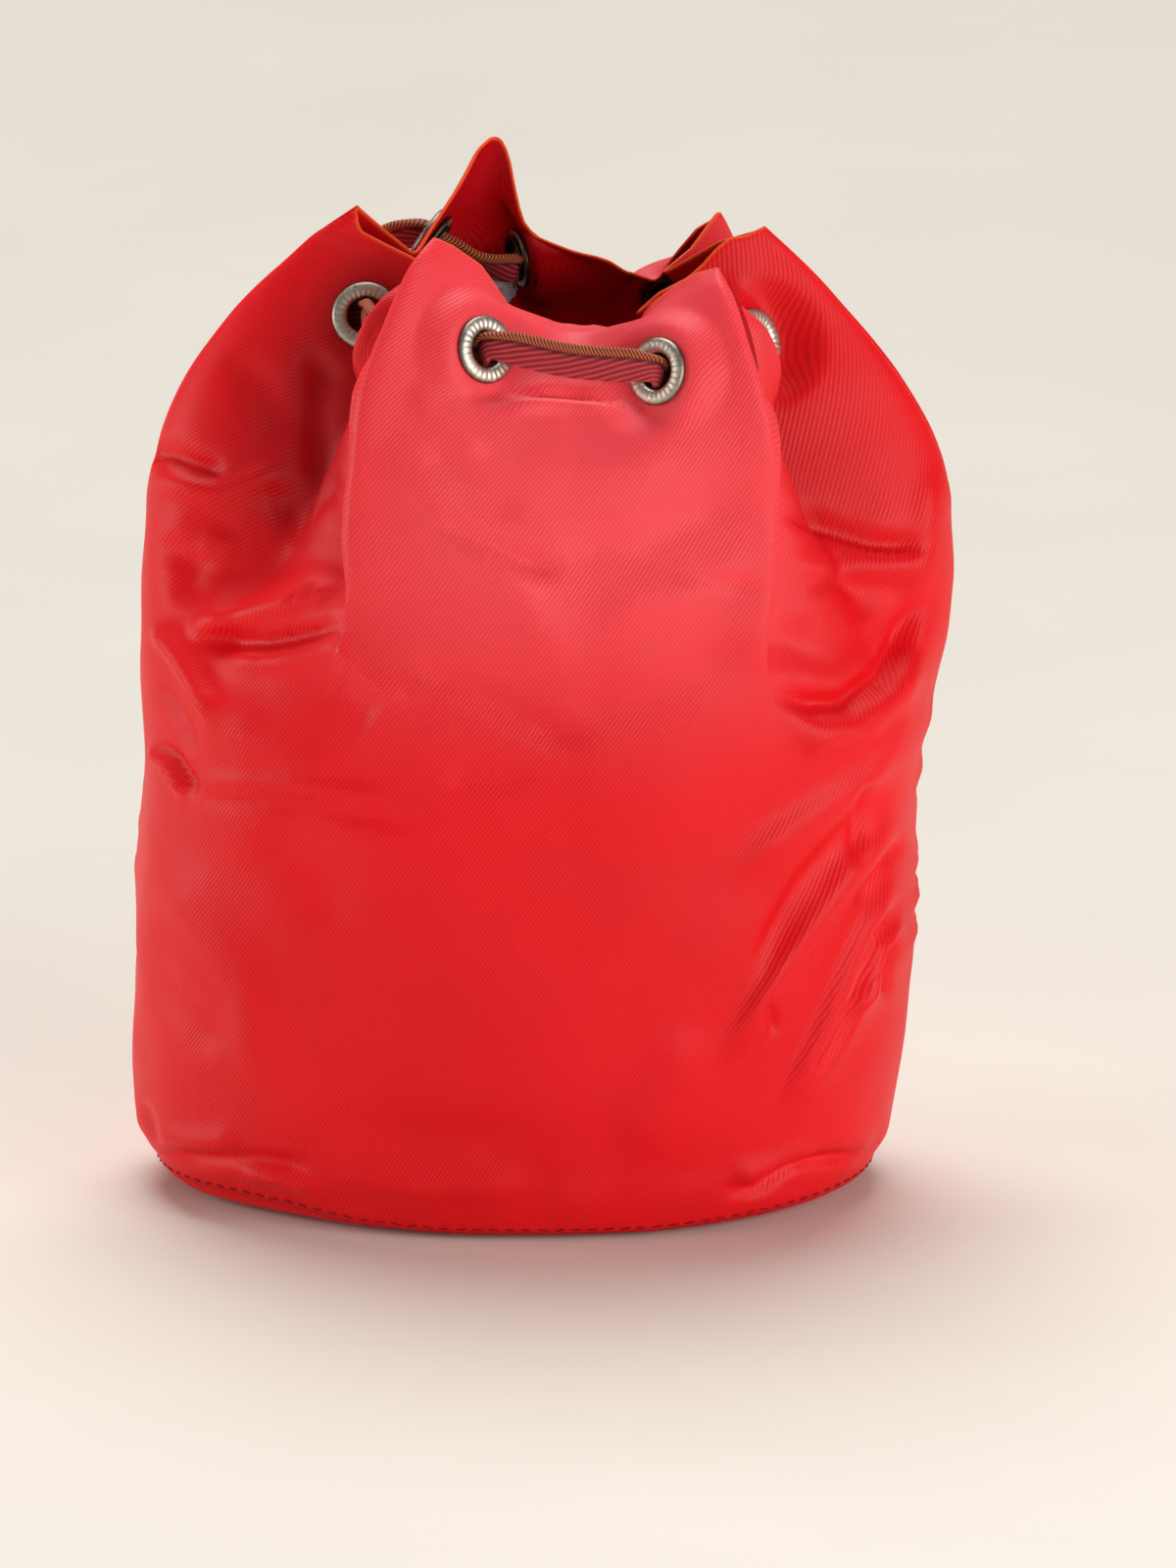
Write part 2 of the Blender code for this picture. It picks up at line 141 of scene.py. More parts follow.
def meshObject(name, points, faces, finish, smooth=True):
    mesh = bpy.data.meshes.new(name)
    mesh.from_pydata([tuple(point * mm) for point in np.asarray(points)], [], faces)
    mesh.materials.append(finish)
    if smooth:
        mesh.shade_smooth()
    mesh.update()
    piece = bpy.data.objects.new(name, mesh)
    bpy.context.collection.objects.link(piece)
    return piece


def ringFaces(rows, count, closed=False, flip=False, first=0):
    # quads between rings of count points; closed joins the last ring to the first
    faces = []
    for row in range(rows if closed else rows - 1):
        below, above = first + row * count, first + (row + 1) % rows * count
        for column in range(count):
            after = (column + 1) % count
            quad = (below + column, below + after, above + after, above + column)
            faces.append((quad[0], quad[3], quad[2], quad[1]) if flip else quad)
    return faces


def faceOutward(piece):
    build = bmesh.new()
    build.from_mesh(piece.data)
    bmesh.ops.recalc_face_normals(build, faces=build.faces)
    build.to_mesh(piece.data)
    build.free()


def writeUv(piece, places, scale=mm):
    # where each vertex lies on the cloth
    spots = np.zeros(len(piece.data.loops), dtype=np.int32)
    piece.data.loops.foreach_get("vertex_index", spots)
    layer = piece.data.uv_layers.new(name="cloth")
    layer.data.foreach_set("uv", (np.asarray(places)[spots] * scale).astype(np.float32).ravel())


# finishes
def srgb(code):
    # hex colour to linear
    values = [int(code[index:index + 2], 16) / 255.0 for index in (1, 3, 5)]
    linear = [value / 12.92 if value <= 0.04045 else ((value + 0.055) / 1.055) ** 2.4 for value in values]
    return (*linear, 1.0)


def newFinish(name, settings):
    finish = bpy.data.materials.new(name)
    finish.use_nodes = True
    shader = finish.node_tree.nodes["Principled BSDF"]
    for socket, value in settings.items():
        shader.inputs[socket].default_value = value
    return finish, finish.node_tree, shader


def addNode(tree, kind, settings=None, links=None):
    # settings: attribute or input socket; links: input socket from (node, output)
    node = tree.nodes.new(kind)
    for key, value in (settings or {}).items():
        if isinstance(key, str) and hasattr(node, key):
            setattr(node, key, value)
        else:
            node.inputs[key].default_value = value
    for key, (source, output) in (links or {}).items():
        tree.links.new(source.outputs[output], node.inputs[key])
    return node


def objectNoise(tree, scale, detail, roughness=0.5):
    place = addNode(tree, "ShaderNodeTexCoord")
    return addNode(tree, "ShaderNodeTexNoise", {"Scale": scale, "Detail": detail, "Roughness": roughness},
                   {"Vector": (place, "Object")})


def threadBands(tree, uv, spacing, settings, turn=None):
    # bands across the cloth, spacing mm apart; the wave node's own period is pi / 10
    source = (uv, "UV")
    if turn is not None:
        turned = addNode(tree, "ShaderNodeMapping", {"Rotation": (0.0, 0.0, math.radians(turn))}, {"Vector": source})
        source = (turned, "Vector")
    return addNode(tree, "ShaderNodeTexWave", {"Scale": 0.314159 / (spacing * mm), **settings}, {"Vector": source})


def remap(tree, source, fromRange, toRange=(0.0, 1.0)):
    return addNode(tree, "ShaderNodeMapRange", {"From Min": fromRange[0], "From Max": fromRange[1],
                                                "To Min": toRange[0], "To Max": toRange[1]}, {"Value": source})


def mixColour(tree, factor, first, second, blend="MIX"):
    # each is a value, or a pair of node and output
    mixer = addNode(tree, "ShaderNodeMix", {"data_type": "RGBA", "blend_type": blend})
    for key, given in (("Factor", factor), (6, first), (7, second)):
        if isinstance(given, tuple) and len(given) == 2:
            tree.links.new(given[0].outputs[given[1]], mixer.inputs[key])
        else:
            mixer.inputs[key].default_value = given
    return mixer, 2


def colourRamp(tree, source, stops):
    # stops: place, and a hex colour or a grey
    node = addNode(tree, "ShaderNodeValToRGB", {}, {"Fac": source})
    elements = node.color_ramp.elements
    for place, colour in stops[2:]:
        elements.new(place)
    for element, (place, colour) in zip(elements, stops):
        element.position = place
        element.color = srgb(colour) if isinstance(colour, str) else (colour, colour, colour, 1.0)
    return node, "Color"


def paint(tree, shader, source, socket="Base Color"):
    tree.links.new(source[0].outputs[source[1]], shader.inputs[socket])


def addBump(tree, shader, height, strength, distance, under=None):
    links = {"Height": height, "Normal": (under, "Normal")} if under else {"Height": height}
    bump = addNode(tree, "ShaderNodeBump", {"Strength": strength, "Distance": distance}, links)
    paint(tree, shader, (bump, "Normal"), "Normal")
    return bump


twill = {
    "rib": 0.78,          # mm between the diagonal ribs, the real 0.6 drawn coarser so that it shows
    "pick": 0.60,         # mm between the cross threads
    "slant": 57.0,        # degrees, ribs rise to the right on the face
    "deep": "#E00610",
    "face": "#E60813",
    "bloom": "#EC0C18",
    "paintedHighlight": "#FF525C",  # painted highlight: the paler, pinker colour of the upper faces between two ears
    "paintedShade": "#B4020E", # painted shade: the deeper red in the pleats and inside the hem
    "hem": "#F05A1C",     # the folded edge, more orange
    "hemEdge": (0.2214, 0.2221),    # m up the cloth
    "ribDepth": 0.00012,
}


def nylonTwill():
    # nylon twill, woven and piece dyed: satin sheen along fine diagonal ribs, and thin enough to glow a little
    finish, tree, shader = newFinish("redNylonTwill", {
        "Roughness": 0.46, "IOR": 1.5, "Specular IOR Level": 0.24,
        "Sheen Weight": 0.02, "Sheen Roughness": 0.5, "Sheen Tint": srgb("#FF9A9A"),
        "Subsurface Weight": 0.12, "Subsurface Radius": (0.004, 0.0003, 0.0003), "Subsurface Scale": 1.0,
    })
    uv = addNode(tree, "ShaderNodeUVMap", {"uv_map": "cloth"})
    ribs = threadBands(tree, uv, twill["rib"], {"Distortion": 0.8, "Detail": 1.0, "Detail Scale": 0.4},
                       turn=90.0 - twill["slant"])
    picks = threadBands(tree, uv, twill["pick"], {
        "bands_direction": "Y", "Distortion": 1.5, "Detail": 1.0, "Detail Scale": 0.6})
    clouds = objectNoise(tree, 22.0, 3.0, 0.55)
    tone = colourRamp(tree, (clouds, "Fac"), [(0.34, twill["deep"]), (0.52, twill["face"]), (0.72, twill["bloom"])])
    paintedHighlightNode = addNode(tree, "ShaderNodeAttribute", {"attribute_name": "paintedHighlightShare"})
    paintedPleatShade = addNode(tree, "ShaderNodeAttribute", {"attribute_name": "paintedShadeShare"})
    # painted highlight: paler and pinker on the upper faces between the ears
    raised = mixColour(tree, (paintedHighlightNode, "Fac"), tone, srgb(twill["paintedHighlight"]))
    # painted shade: deeper red in the side pleats and on the inner face near the hem
    withPaintedShade = mixColour(tree, (paintedPleatShade, "Fac"), raised, srgb(twill["paintedShade"]))
    ribShade = remap(tree, (ribs, "Fac"), (0.0, 1.0), (0.86, 1.09))
    pickShade = remap(tree, (picks, "Fac"), (0.0, 1.0), (0.93, 1.04))
    both = addNode(tree, "ShaderNodeMath", {"operation": "MULTIPLY"},
                   {0: (ribShade, "Result"), 1: (pickShade, "Result")})
    woven = mixColour(tree, 1.0, withPaintedShade, (both, "Value"), "MULTIPLY")
    apart = addNode(tree, "ShaderNodeSeparateXYZ", {}, {"Vector": (uv, "UV")})
    edge = remap(tree, (apart, "Y"), twill["hemEdge"], (0.0, 0.8))
    paint(tree, shader, mixColour(tree, (edge, "Result"), woven, srgb(twill["hem"])))
    soft = addBump(tree, shader, (objectNoise(tree, 160.0, 4.0, 0.6), "Fac"), 0.25, 0.0006)
    addBump(tree, shader, (ribs, "Fac"), 0.36, twill["ribDepth"], under=soft)
    wander = addNode(tree, "ShaderNodeTexNoise", {"Scale": 45.0, "Detail": 2.0}, {"Vector": (uv, "UV")})
    paint(tree, shader, (remap(tree, (wander, "Fac"), (0.3, 0.7), (0.42, 0.52)), "Result"), "Roughness")
    return finish


def liningTaffeta():
    # polyester taffeta: a fine plain weave with a soft shine, plum
    finish, tree, shader = newFinish("plumTaffeta", {
        "Roughness": 0.5, "IOR": 1.5, "Specular IOR Level": 0.4, "Sheen Weight": 0.25, "Sheen Tint": srgb("#E8B0C8"),
    })
    uv = addNode(tree, "ShaderNodeUVMap", {"uv_map": "cloth"})
    threads = threadBands(tree, uv, 0.5, {"Distortion": 1.0, "Detail": 1.0})
    crumple = (objectNoise(tree, 90.0, 4.0), "Fac")
    # painted shade in the crumple's hollows and painted highlight on its ridges, following the same noise as the bump
    paint(tree, shader, colourRamp(tree, crumple, [(0.3, "#7A1038"), (0.55, "#98204C"), (0.75, "#B04468")]))
    soft = addBump(tree, shader, crumple, 0.6, 0.0012)
    addBump(tree, shader, (threads, "Fac"), 0.3, 0.00006, under=soft)
    return finish


redTwill = nylonTwill()
plumLining = liningTaffeta()


# the pouch's cloth, as it is cut and gathered
pouch = {
    "clothHeight": 222.0,    # mm up the cloth, base seam to hem
    "flatPower": 2.2,        # how square the oval is
    "rows": (                # height, middle across, width, depth
        (2.2, 0.0, 148.0, 88.0), (13.0, -0.4, 156.0, 97.0), (50.0, 1.6, 161.0, 106.0),
        (90.0, 3.6, 161.0, 108.0), (125.0, 6.6, 167.0, 105.0), (155.0, 7.6, 166.0, 96.0),
    ),
    "ears": {                # angle, hem across, hem back, drop of hem, start height, lean
        "frontLeft": (-28.0, -18.0, -24.5, 13.5, 140.0, 2.6),
        "frontRight": (31.0, 44.0, -25.0, 19.5, 140.0, 2.8),
        "right": (90.0, 53.5, 0.0, 17.0, 146.0, 1.4),
        "backRight": (148.0, 44.0, 24.0, 20.5, 140.0, 1.8),
        "backLeft": (208.0, -3.5, 27.0, 7.0, 136.0, 1.35),
        "left": (270.0, -33.5, 0.0, 12.5, 146.0, 1.7),
    },
    "valleys": {
        "front": (3.0, 11.5, -13.5, 34.0, 152.0, 1.5),
        "frontSideRight": (61.0, 24.0, -7.5, 36.0, 98.0, 1.4),
        "backSideRight": (119.0, 30.0, 8.5, 31.0, 104.0, 1.4),
        "back": (178.0, 22.0, 16.0, 32.0, 148.0, 1.5),
        "backSideLeft": (238.0, -20.0, 8.5, 26.0, 104.0, 1.2),
        "frontSideLeft": (305.0, -10.5, -3.5, 31.0, 104.0, 1.35),
    },
    "foldRounding": 3.2,     # degrees
    "foldCrispness": 0.4,
    "tuckPower": 0.38,       # how sharply the sides tuck in behind the front
    "thickness": 0.6,
    "eyeletSpots": (         # share of the face from its ear and mm below the hem, round from the front valley
        (0.57, 22.0), (0.54, 19.0), (0.60, 19.0), (0.54, 19.0), (0.54, 19.0), (0.54, 19.0),
        (0.50, 16.5), (0.40, 14.5), (0.54, 19.0), (0.66, 17.0), (0.54, 19.0), (0.565, 19.6),
    ),
    "eyeletTurns": {         # the strap pulls these round to face each other: index, outward direction
        0: (-0.60, -0.74, 0.30), 11: (0.62, -0.72, 0.30), 6: (0.94, 0.32, 0.12),
        2: (0.78, -0.52, 0.34),
    },
    "eyeletHold": 0.25,
    "flatRadius": 9.0,       # cloth clamped flat round an eyelet
    "flatFade": 6.0,
    "foldFree": 0.2,
    "holeRadius": 4.7,
    "hemBand": 27.0,         # mm of red cloth turned in above the lining
}
hemSlack = {"angle": 218.0, "reach": 9.0, "most": 18.0}    # the band stands wider away from the left back ear
seamHeight = pouch["rows"][0][0]

hemDips = (                  # angle, mm the hem stands above or below the straight face
    (-31.0, -0.6), (-28.0, -0.8), (-22.1, 0.0), (-16.2, -0.4), (-13.2, -2.6), (-10.3, -5.4), (-7.4, -4.9),
    (-1.4, -3.5), (3.0, -2.8), (7.4, -3.8), (10.4, -5.8), (13.3, -8.2), (15.0, -7.4), (16.2, -4.4), (19.2, -2.6),
    (22.1, -1.2), (25.1, -0.6), (28.0, -1.0), (31.0, -1.0), (45.0, 0.8), (61.0, 0.0), (66.8, 1.0), (72.6, 0.0),
    (75.5, 0.6), (78.4, 2.0), (81.3, 2.2), (84.2, 0.4), (88.5, -0.4), (90.5, -0.4), (94.0, -0.8),
    (104.0, 0.9), (119.0, 0.0), (133.0, -1.2), (144.0, 0.6), (148.0, -0.3), (154.0, -0.3), (157.0, -0.2),
    (161.5, -2.2), (164.5, -3.8), (167.5, -6.0), (169.0, -5.8), (172.0, -3.7), (175.0, -1.6), (179.0, -0.3),
    (181.0, -0.5), (184.0, -2.4), (187.0, -4.6), (190.0, -6.6), (194.5, -9.2), (199.0, -11.7), (202.0, -11.2),
    (203.5, -7.0), (205.0, -1.0), (206.5, 1.5), (208.0, 2.2), (211.0, 3.0), (215.5, 4.2), (218.5, 3.1),
    (223.0, 1.8), (229.0, 0.8), (235.0, 0.6), (239.6, -1.0), (254.0, -1.1), (262.0, -0.9), (268.5, -0.7),
    (270.0, -1.4), (271.4, -4.6), (273.5, -5.4), (280.5, -4.0), (289.2, -2.1), (294.5, -1.1), (300.0, -0.2),
    (305.0, 0.3), (318.0, 0.7), (326.0, 0.2),
)


def bodySize(height):
    rows = np.array(pouch["rows"])
    height = np.clip(height, rows[0, 0], rows[-1, 0])
    index = np.clip(np.searchsorted(rows[:, 0], height, side="left") - 1, 0, len(rows) - 2)
    low, high = rows[index], rows[index + 1]
    before, after = rows[np.maximum(index - 1, 0)], rows[np.minimum(index + 2, len(rows) - 1)]
    span = high[..., 0] - low[..., 0]
    share = (height - low[..., 0]) / span
    sizes = []
    for column in (1, 2, 3):
        slopeLow = (high[..., column] - before[..., column]) / (high[..., 0] - before[..., 0]) * span
        slopeHigh = (after[..., column] - low[..., column]) / (after[..., 0] - low[..., 0]) * span
        sizes.append(
            low[..., column] * (1 + 2 * share) * (1 - share) ** 2
            + slopeLow * share * (1 - share) ** 2
            + high[..., column] * share ** 2 * (3 - 2 * share)
            + slopeHigh * share ** 2 * (share - 1)
        )
    return sizes[0], sizes[1] / 2, sizes[2] / 2


def bodyPoint(angle, height, inset=0.0):
    middle, halfWidth, halfDepth = bodySize(height)
    turn = np.radians(angle)
    power = 2.0 / pouch["flatPower"]
    across = np.sign(np.sin(turn)) * np.abs(np.sin(turn)) ** power
    forward = np.sign(np.cos(turn)) * np.abs(np.cos(turn)) ** power
    return np.stack(np.broadcast_arrays(middle + (halfWidth - inset) * across,
                                        -(halfDepth - inset) * forward, height + 0.0 * turn), axis=-1)


def foldLines():
    lines = []
    for group in ("ears", "valleys"):
        for name, (angle, across, back, drop, start, lean) in pouch[group].items():
            lines.append((angle % 360.0, name, (across, back, pouch["clothHeight"] - drop), start, lean))
    return sorted(lines)


folds = foldLines()
foldAngles = np.array([line[0] for line in folds])
foldHems = np.array([line[2] for line in folds])
foldStarts = np.array([line[3] for line in folds])
foldLeans = np.array([line[4] for line in folds])
frontLeft, frontRight = [[line[1] for line in folds].index(name) for name in ("frontLeft", "frontRight")]


def betweenFolds(angle):
    angle = np.mod(angle, 360.0)
    first = (np.searchsorted(foldAngles, angle, side="right") - 1) % len(folds)
    second = (first + 1) % len(folds)
    span = np.mod(foldAngles[second] - foldAngles[first], 360.0)
    return first, second, np.mod(angle - foldAngles[first], 360.0) / span


def hemPoint(angle):
    total = 0.0
    steps = (-1.0, -0.5, 0.0, 0.5, 1.0)
    for step in steps:
        first, second, share = betweenFolds(angle + step * pouch["foldRounding"])
        total = total + foldHems[first] + (foldHems[second] - foldHems[first]) * share[..., None]
    return total / len(steps)


def gather(angle, height, tucked=0.0):
    first, second, share = betweenFolds(angle)
    top = pouch["clothHeight"]
    climbs = []
    for line in (first, second):
        climb = np.maximum(0.0, (height - foldStarts[line]) / (top - foldStarts[line]))
        climbs.append(climb ** foldLeans[line])
    ease = (1.0 - pouch["foldCrispness"]) * smoothStep(share) + pouch["foldCrispness"] * share
    # the sides tuck in sharply behind the front's edges
    sharp = np.where(second == frontLeft, 1.0 - (1.0 - share) ** pouch["tuckPower"], ease)
    sharp = np.where(first == frontRight, share ** pouch["tuckPower"], sharp)
    ease = ease + (sharp - ease) * tucked
    return climbs[0] + (climbs[1] - climbs[0]) * ease


def clothPoint(angle, height, tucked=0.0):
    angle, height = np.broadcast_arrays(np.asarray(angle, float), np.asarray(height, float))
    top = bodyPoint(angle, np.full_like(height, pouch["clothHeight"]))
    return bodyPoint(angle, height) + (hemPoint(angle) - top) * gather(angle, height, tucked)[..., None]


def heightBelowHem(angle, drop):
    heights = np.arange(pouch["clothHeight"], 0.0, -0.5)
    return heights[int(np.argmax(runLengths(clothPoint(np.full_like(heights, angle), heights)) >= drop))]


def eyeletPlaces():
    places = []
    for index, line in enumerate(folds):
        after = folds[(index + 1) % len(folds)]
        span = (after[0] - line[0]) % 360.0
        fromEar, drop = pouch["eyeletSpots"][index]
        angle = line[0] + span * (fromEar if line[1] in pouch["ears"] else 1.0 - fromEar)
        height = heightBelowHem(angle, drop)
        turn = span * pouch["eyeletHold"]
        around = clothPoint(angle + turn, height) - clothPoint(angle - turn, height)
        upward = clothPoint(angle, height + 7.0) - clothPoint(angle, height - 7.0)
        outward = unit(np.cross(around, upward))
        if index in pouch["eyeletTurns"]:
            outward = unit(np.array(pouch["eyeletTurns"][index]))
        places.append((clothPoint(angle, height), outward))
    return places


eyelets = eyeletPlaces()
eyeletMiddles = np.array([place[0] for place in eyelets])
eyeletOutwards = np.array([place[1] for place in eyelets])


def clampRound(angle, points):
    # the cloth lies flat where an eyelet and its washer clamp it
    first, second, share = betweenFolds(angle)
    middle, outward = eyeletMiddles[first], eyeletOutwards[first]
    nearFold = rise(np.minimum(share, 1.0 - share), 0.0, pouch["foldFree"])
    away = np.linalg.norm(points - middle, axis=-1)
    hold = nearFold * (1.0 - rise(away, pouch["flatRadius"], pouch["flatFade"]))
    lift = np.sum((points - middle) * outward, axis=-1)
    return points - outward * (lift * hold)[..., None], hold


# Where the front of the cloth laps over its sides: the line in picture px, step in mm, which way
# round the cloth the tucked side lies, and how far the step reaches over and under, in mm
frontLaps = (
    {"line": ((440, 240), (436, 250), (423, 262), (407, 293), (389, 336), (370, 382), (362, 420), (357, 463),
              (351, 527), (349, 585), (351, 628)),
     "between": (-50.0, -10.0), "tucked": -1.0, "step": 2.4, "over": 8.0, "under": 9.0},
    {"line": ((734, 268), (741, 290), (757, 330), (765, 356), (776, 386), (787, 429), (792, 472), (792, 527),
              (790, 594), (783, 660), (784, 696)),
     "between": (16.0, 52.0), "tucked": 1.0, "step": 2.3, "over": 8.0, "under": 10.0},
)

# Folds: points in picture px, depth in mm (minus is a valley), and spread in px to the
# right and left of the line as it is walked
frontFolds = (
    # hollows behind the two laps
    (((170, 550), (240, 578), (300, 572), (350, 540)), -2.4, 46, 60),
    (((786, 640), (850, 662), (905, 632), (945, 570)), -2.2, 34, 60),
    # bowls where the two laps run out
    (((350, 626), (330, 644), (268, 656), (200, 650)), -2.4, 10, 11),
    (((186, 634), (206, 642), (250, 632), (294, 616), (347, 588)), 2.4, 8, 26),
    (((297, 611), (308, 606), (322, 600)), -0.9, 3, 3),
    (((225, 672), (290, 672), (350, 654)), 1.3, 15, 14),
    (((318, 642), (345, 662), (373, 689), (420, 726)), 1.2, 9, 10),
    (((784, 694), (800, 712), (830, 722), (866, 721), (903, 693), (927, 656), (949, 596)), -3.0, 8, 15),
    (((800, 736), (835, 752), (880, 742), (915, 706), (942, 660)), 1.9, 16, 18),
    (((820, 600), (850, 640), (880, 600)), 1.0, 30, 30),
    # the left side above its bowl
    (((140, 462), (170, 466), (200, 478), (232, 486)), -2.0, 7, 14),
    (((146, 486), (180, 494), (222, 504), (300, 474)), 1.5, 13, 13),
    (((268, 520), (310, 508), (352, 500)), -1.6, 22, 18),
    (((200, 570), (215, 552), (236, 560)), 1.0, 12, 12),
    (((160, 545), (190, 580), (186, 620)), -1.0, 14, 14),
    (((230, 360), (270, 400), (300, 460)), -1.0, 20, 24),
    (((330, 330), (322, 420), (326, 520)), -1.6, 16, 20),
    # creases under the eyelets, where the hem band ends
    (((448, 380), (466, 402), (500, 403), (560, 402), (620, 407), (650, 416), (690, 438)), -1.6, 4, 5),
    (((462, 414), (500, 414), (560, 413), (620, 418), (660, 428), (690, 446)), 1.1, 6, 12),
    (((420, 390), (440, 420), (500, 470)), 0.9, 11, 12),
    (((384, 440), (420, 500), (500, 580), (590, 690)), 1.2, 20, 32),
    (((429, 525), (470, 545), (540, 578), (580, 590)), -1.3, 9, 10),
    (((423, 519), (480, 562), (560, 616)), 0.9, 10, 14),
    (((408, 669), (470, 700), (560, 748), (610, 770)), -1.3, 12, 16),
    (((430, 450), (480, 500), (540, 530)), -0.7, 14, 14),
    (((560, 560), (650, 560), (770, 500)), -0.9, 22, 24),
    (((520, 470), (620, 480), (700, 470)), 0.7, 24, 20),
    (((600, 630), (690, 610), (780, 560)), 0.9, 20, 22),
    (((560, 730), (650, 720), (770, 650)), -0.9, 24, 22),
    (((640, 560), (700, 590), (785, 600)), -0.7, 7, 9),
    # left flank
    (((153, 631), (183, 669), (203, 704), (226, 746)), 2.2, 8, 14),
    (((160, 690), (186, 730), (200, 770)), -1.0, 9, 9),
    (((200, 700), (260, 760), (360, 800)), 1.0, 22, 28),
    (((335, 690), (356, 716), (384, 740)), -1.0, 20, 20),
    (((148, 764), (168, 777), (190, 814)), 1.7, 4, 8),
    (((158, 756), (178, 772), (204, 812)), -1.5, 7, 5),
    (((188, 812), (250, 818), (347, 829), (446, 848)), -0.9, 7, 18),
    (((196, 796), (300, 800), (420, 818)), 1.0, 16, 8),
    (((452, 792), (500, 798), (548, 796)), -0.6, 12, 14),
    (((146, 870), (190, 920), (250, 1010), (260, 1120)), 1.2, 20, 26),
    (((140, 960), (170, 1010), (230, 1080)), -1.0, 18, 22),
    (((260, 840), (330, 900), (340, 960)), -1.1, 32, 36),
    # right flank, folds that fan down from the seam
    (((950, 470), (945, 540), (930, 640)), 1.0, 12, 16),
    (((800, 520), (841, 541), (890, 556), (952, 562)), -2.0, 6, 13),
    (((806, 575), (860, 580), (946, 584)), 1.3, 9, 14),
    (((840, 560), (880, 606), (884, 640)), -0.8, 13, 14),
    (((942, 700), (890, 790), (800, 850), (740, 900)), 1.4, 13, 26),
    (((928, 770), (880, 830), (820, 900), (760, 1000)), -1.6, 11, 16),
    (((930, 830), (872, 880), (800, 980), (730, 1090)), 1.6, 9, 20),
    (((926, 850), (900, 880), (868, 930)), -1.5, 5, 8),
    (((880, 790), (880, 850), (866, 890)), -1.2, 6, 8),
    (((925, 880), (880, 945), (832, 1060), (790, 1140)), 1.8, 6, 18),
    (((924, 905), (890, 960), (850, 1060), (810, 1120)), -1.9, 6, 8),
    (((925, 935), (898, 965), (884, 1010), (862, 1040)), 1.5, 5, 7),
    (((918, 950), (900, 990), (904, 1020)), -1.4, 5, 6),
    (((905, 985), (870, 1040), (810, 1130)), 1.0, 10, 14),
    (((775, 1022), (786, 1038), (790, 1056)), -1.0, 5, 7),
    (((700, 1040), (690, 1100), (640, 1180)), 0.8, 30, 30),
    # foot, where the base seam pulls
    (((726, 1214), (772, 1216), (812, 1192), (870, 1184), (896, 1196)), -2.1, 5, 9),
    (((740, 1200), (790, 1190), (840, 1170)), 1.0, 12, 12),
    (((760, 1228), (820, 1226), (880, 1212)), 1.1, 8, 8),
    (((160, 1176), (200, 1190), (262, 1186), (330, 1196)), -1.3, 9, 13),
    (((150, 1150), (190, 1166), (250, 1164)), 1.1, 13, 13),
    (((240, 1204), (300, 1212), (330, 1222)), 0.9, 8, 8),
    (((330, 1196), (440, 1212), (560, 1206)), 1.0, 13, 18),
    (((300, 1140), (420, 1160), (560, 1164)), -0.8, 22, 24),
    (((141, 1120), (152, 1150), (162, 1176)), -1.1, 6, 8),
)


def nearLine(seen, points):
    # distance to a line of points, which side it is on, and the share of its length
    line = np.array(points, float)
    best = np.full(seen.shape[:-1], 1e9)
    side = np.zeros(seen.shape[:-1])
    along = np.zeros(seen.shape[:-1])
    lengths = np.linalg.norm(np.diff(line, axis=0), axis=1)
    gone = 0.0
    for start, end, length in zip(line, line[1:], lengths):
        step = (end - start) / length
        offset = seen - start
        reach = np.clip(offset @ step, 0.0, length)
        across = offset - reach[..., None] * step
        away = np.linalg.norm(across, axis=-1)
        nearer = away < best
        best = np.where(nearer, away, best)
        side = np.where(nearer, np.sign(step[0] * across[..., 1] - step[1] * across[..., 0]), side)
        along = np.where(nearer, gone + reach, along)
        gone += length
    return best, side, along / gone


foldStrength = 1.4           # the depths as drawn look shallower once they are lit


def foldLift(seen, folding):
    total = np.zeros(seen.shape[:-1])
    for points, depth, spreadRight, spreadLeft in folding:
        away, side, share = nearLine(seen, points)
        taper = rise(share, 0.0, 0.25) * rise(1.0 - share, 0.0, 0.25)
        spread = np.where(side > 0.0, spreadRight, spreadLeft)
        total += foldStrength * depth * taper * bell(away, 0.0, spread)
    return total


def lapCrests():
    # the angle at which each lap crosses each height
    crests = []
    heights = np.arange(84.0, pouch["clothHeight"] + 0.1, 1.5)
    toCamera = cameraFrame()[2]
    for lap in frontLaps:
        angles = np.arange(*lap["between"], 0.25)
        points = clothPoint(angles[None, :], heights[:, None])
        away, side, share = nearLine(seenFromCamera(points), lap["line"])
        away = np.where(gridNormals(points) @ toCamera > 0.03, away, 1e6)
        best = np.argmin(away, axis=1)
        rows = np.arange(len(heights))
        found = angles[best]
        padded = np.pad(found, 3, mode="edge")
        found = np.mean([padded[step:step + len(found)] for step in range(7)], axis=0)
        near = away[rows, best] < 30.0
        crests.append((heights[near], found[near], share[rows, best][near]))
    return crests


def lapLift(angle, height, crests):
    total = np.zeros(np.broadcast(angle, height).shape)
    for lap, (heights, found, shares) in zip(frontLaps, crests):
        crest = np.interp(height, heights, found)
        share = np.interp(height, heights, shares, left=1.0)
        across = (aroundCloth(angle) - aroundCloth(crest)) * lap["tucked"]
        taper = smoothStep(0.35 + share / 0.12) * smoothStep((1.0 - share) / 0.12)
        over = bell(across, 0.0, lap["over"]) * 0.8
        under = bell(across, 0.0, lap["under"]) * 1.7
        total = total + lap["step"] * taper * np.where(across < 0.0, over, -under) * np.tanh(np.abs(across) / 0.9)
    return total


arcAngles = np.arange(-180.0, 361.0, 1.0)
arcLengths = runLengths(bodyPoint(arcAngles, np.full_like(arcAngles, 90.0)))


def aroundCloth(angle):
    # mm round the belly, for the weave and for what repeats along the seams
    return np.interp(angle, arcAngles, arcLengths)


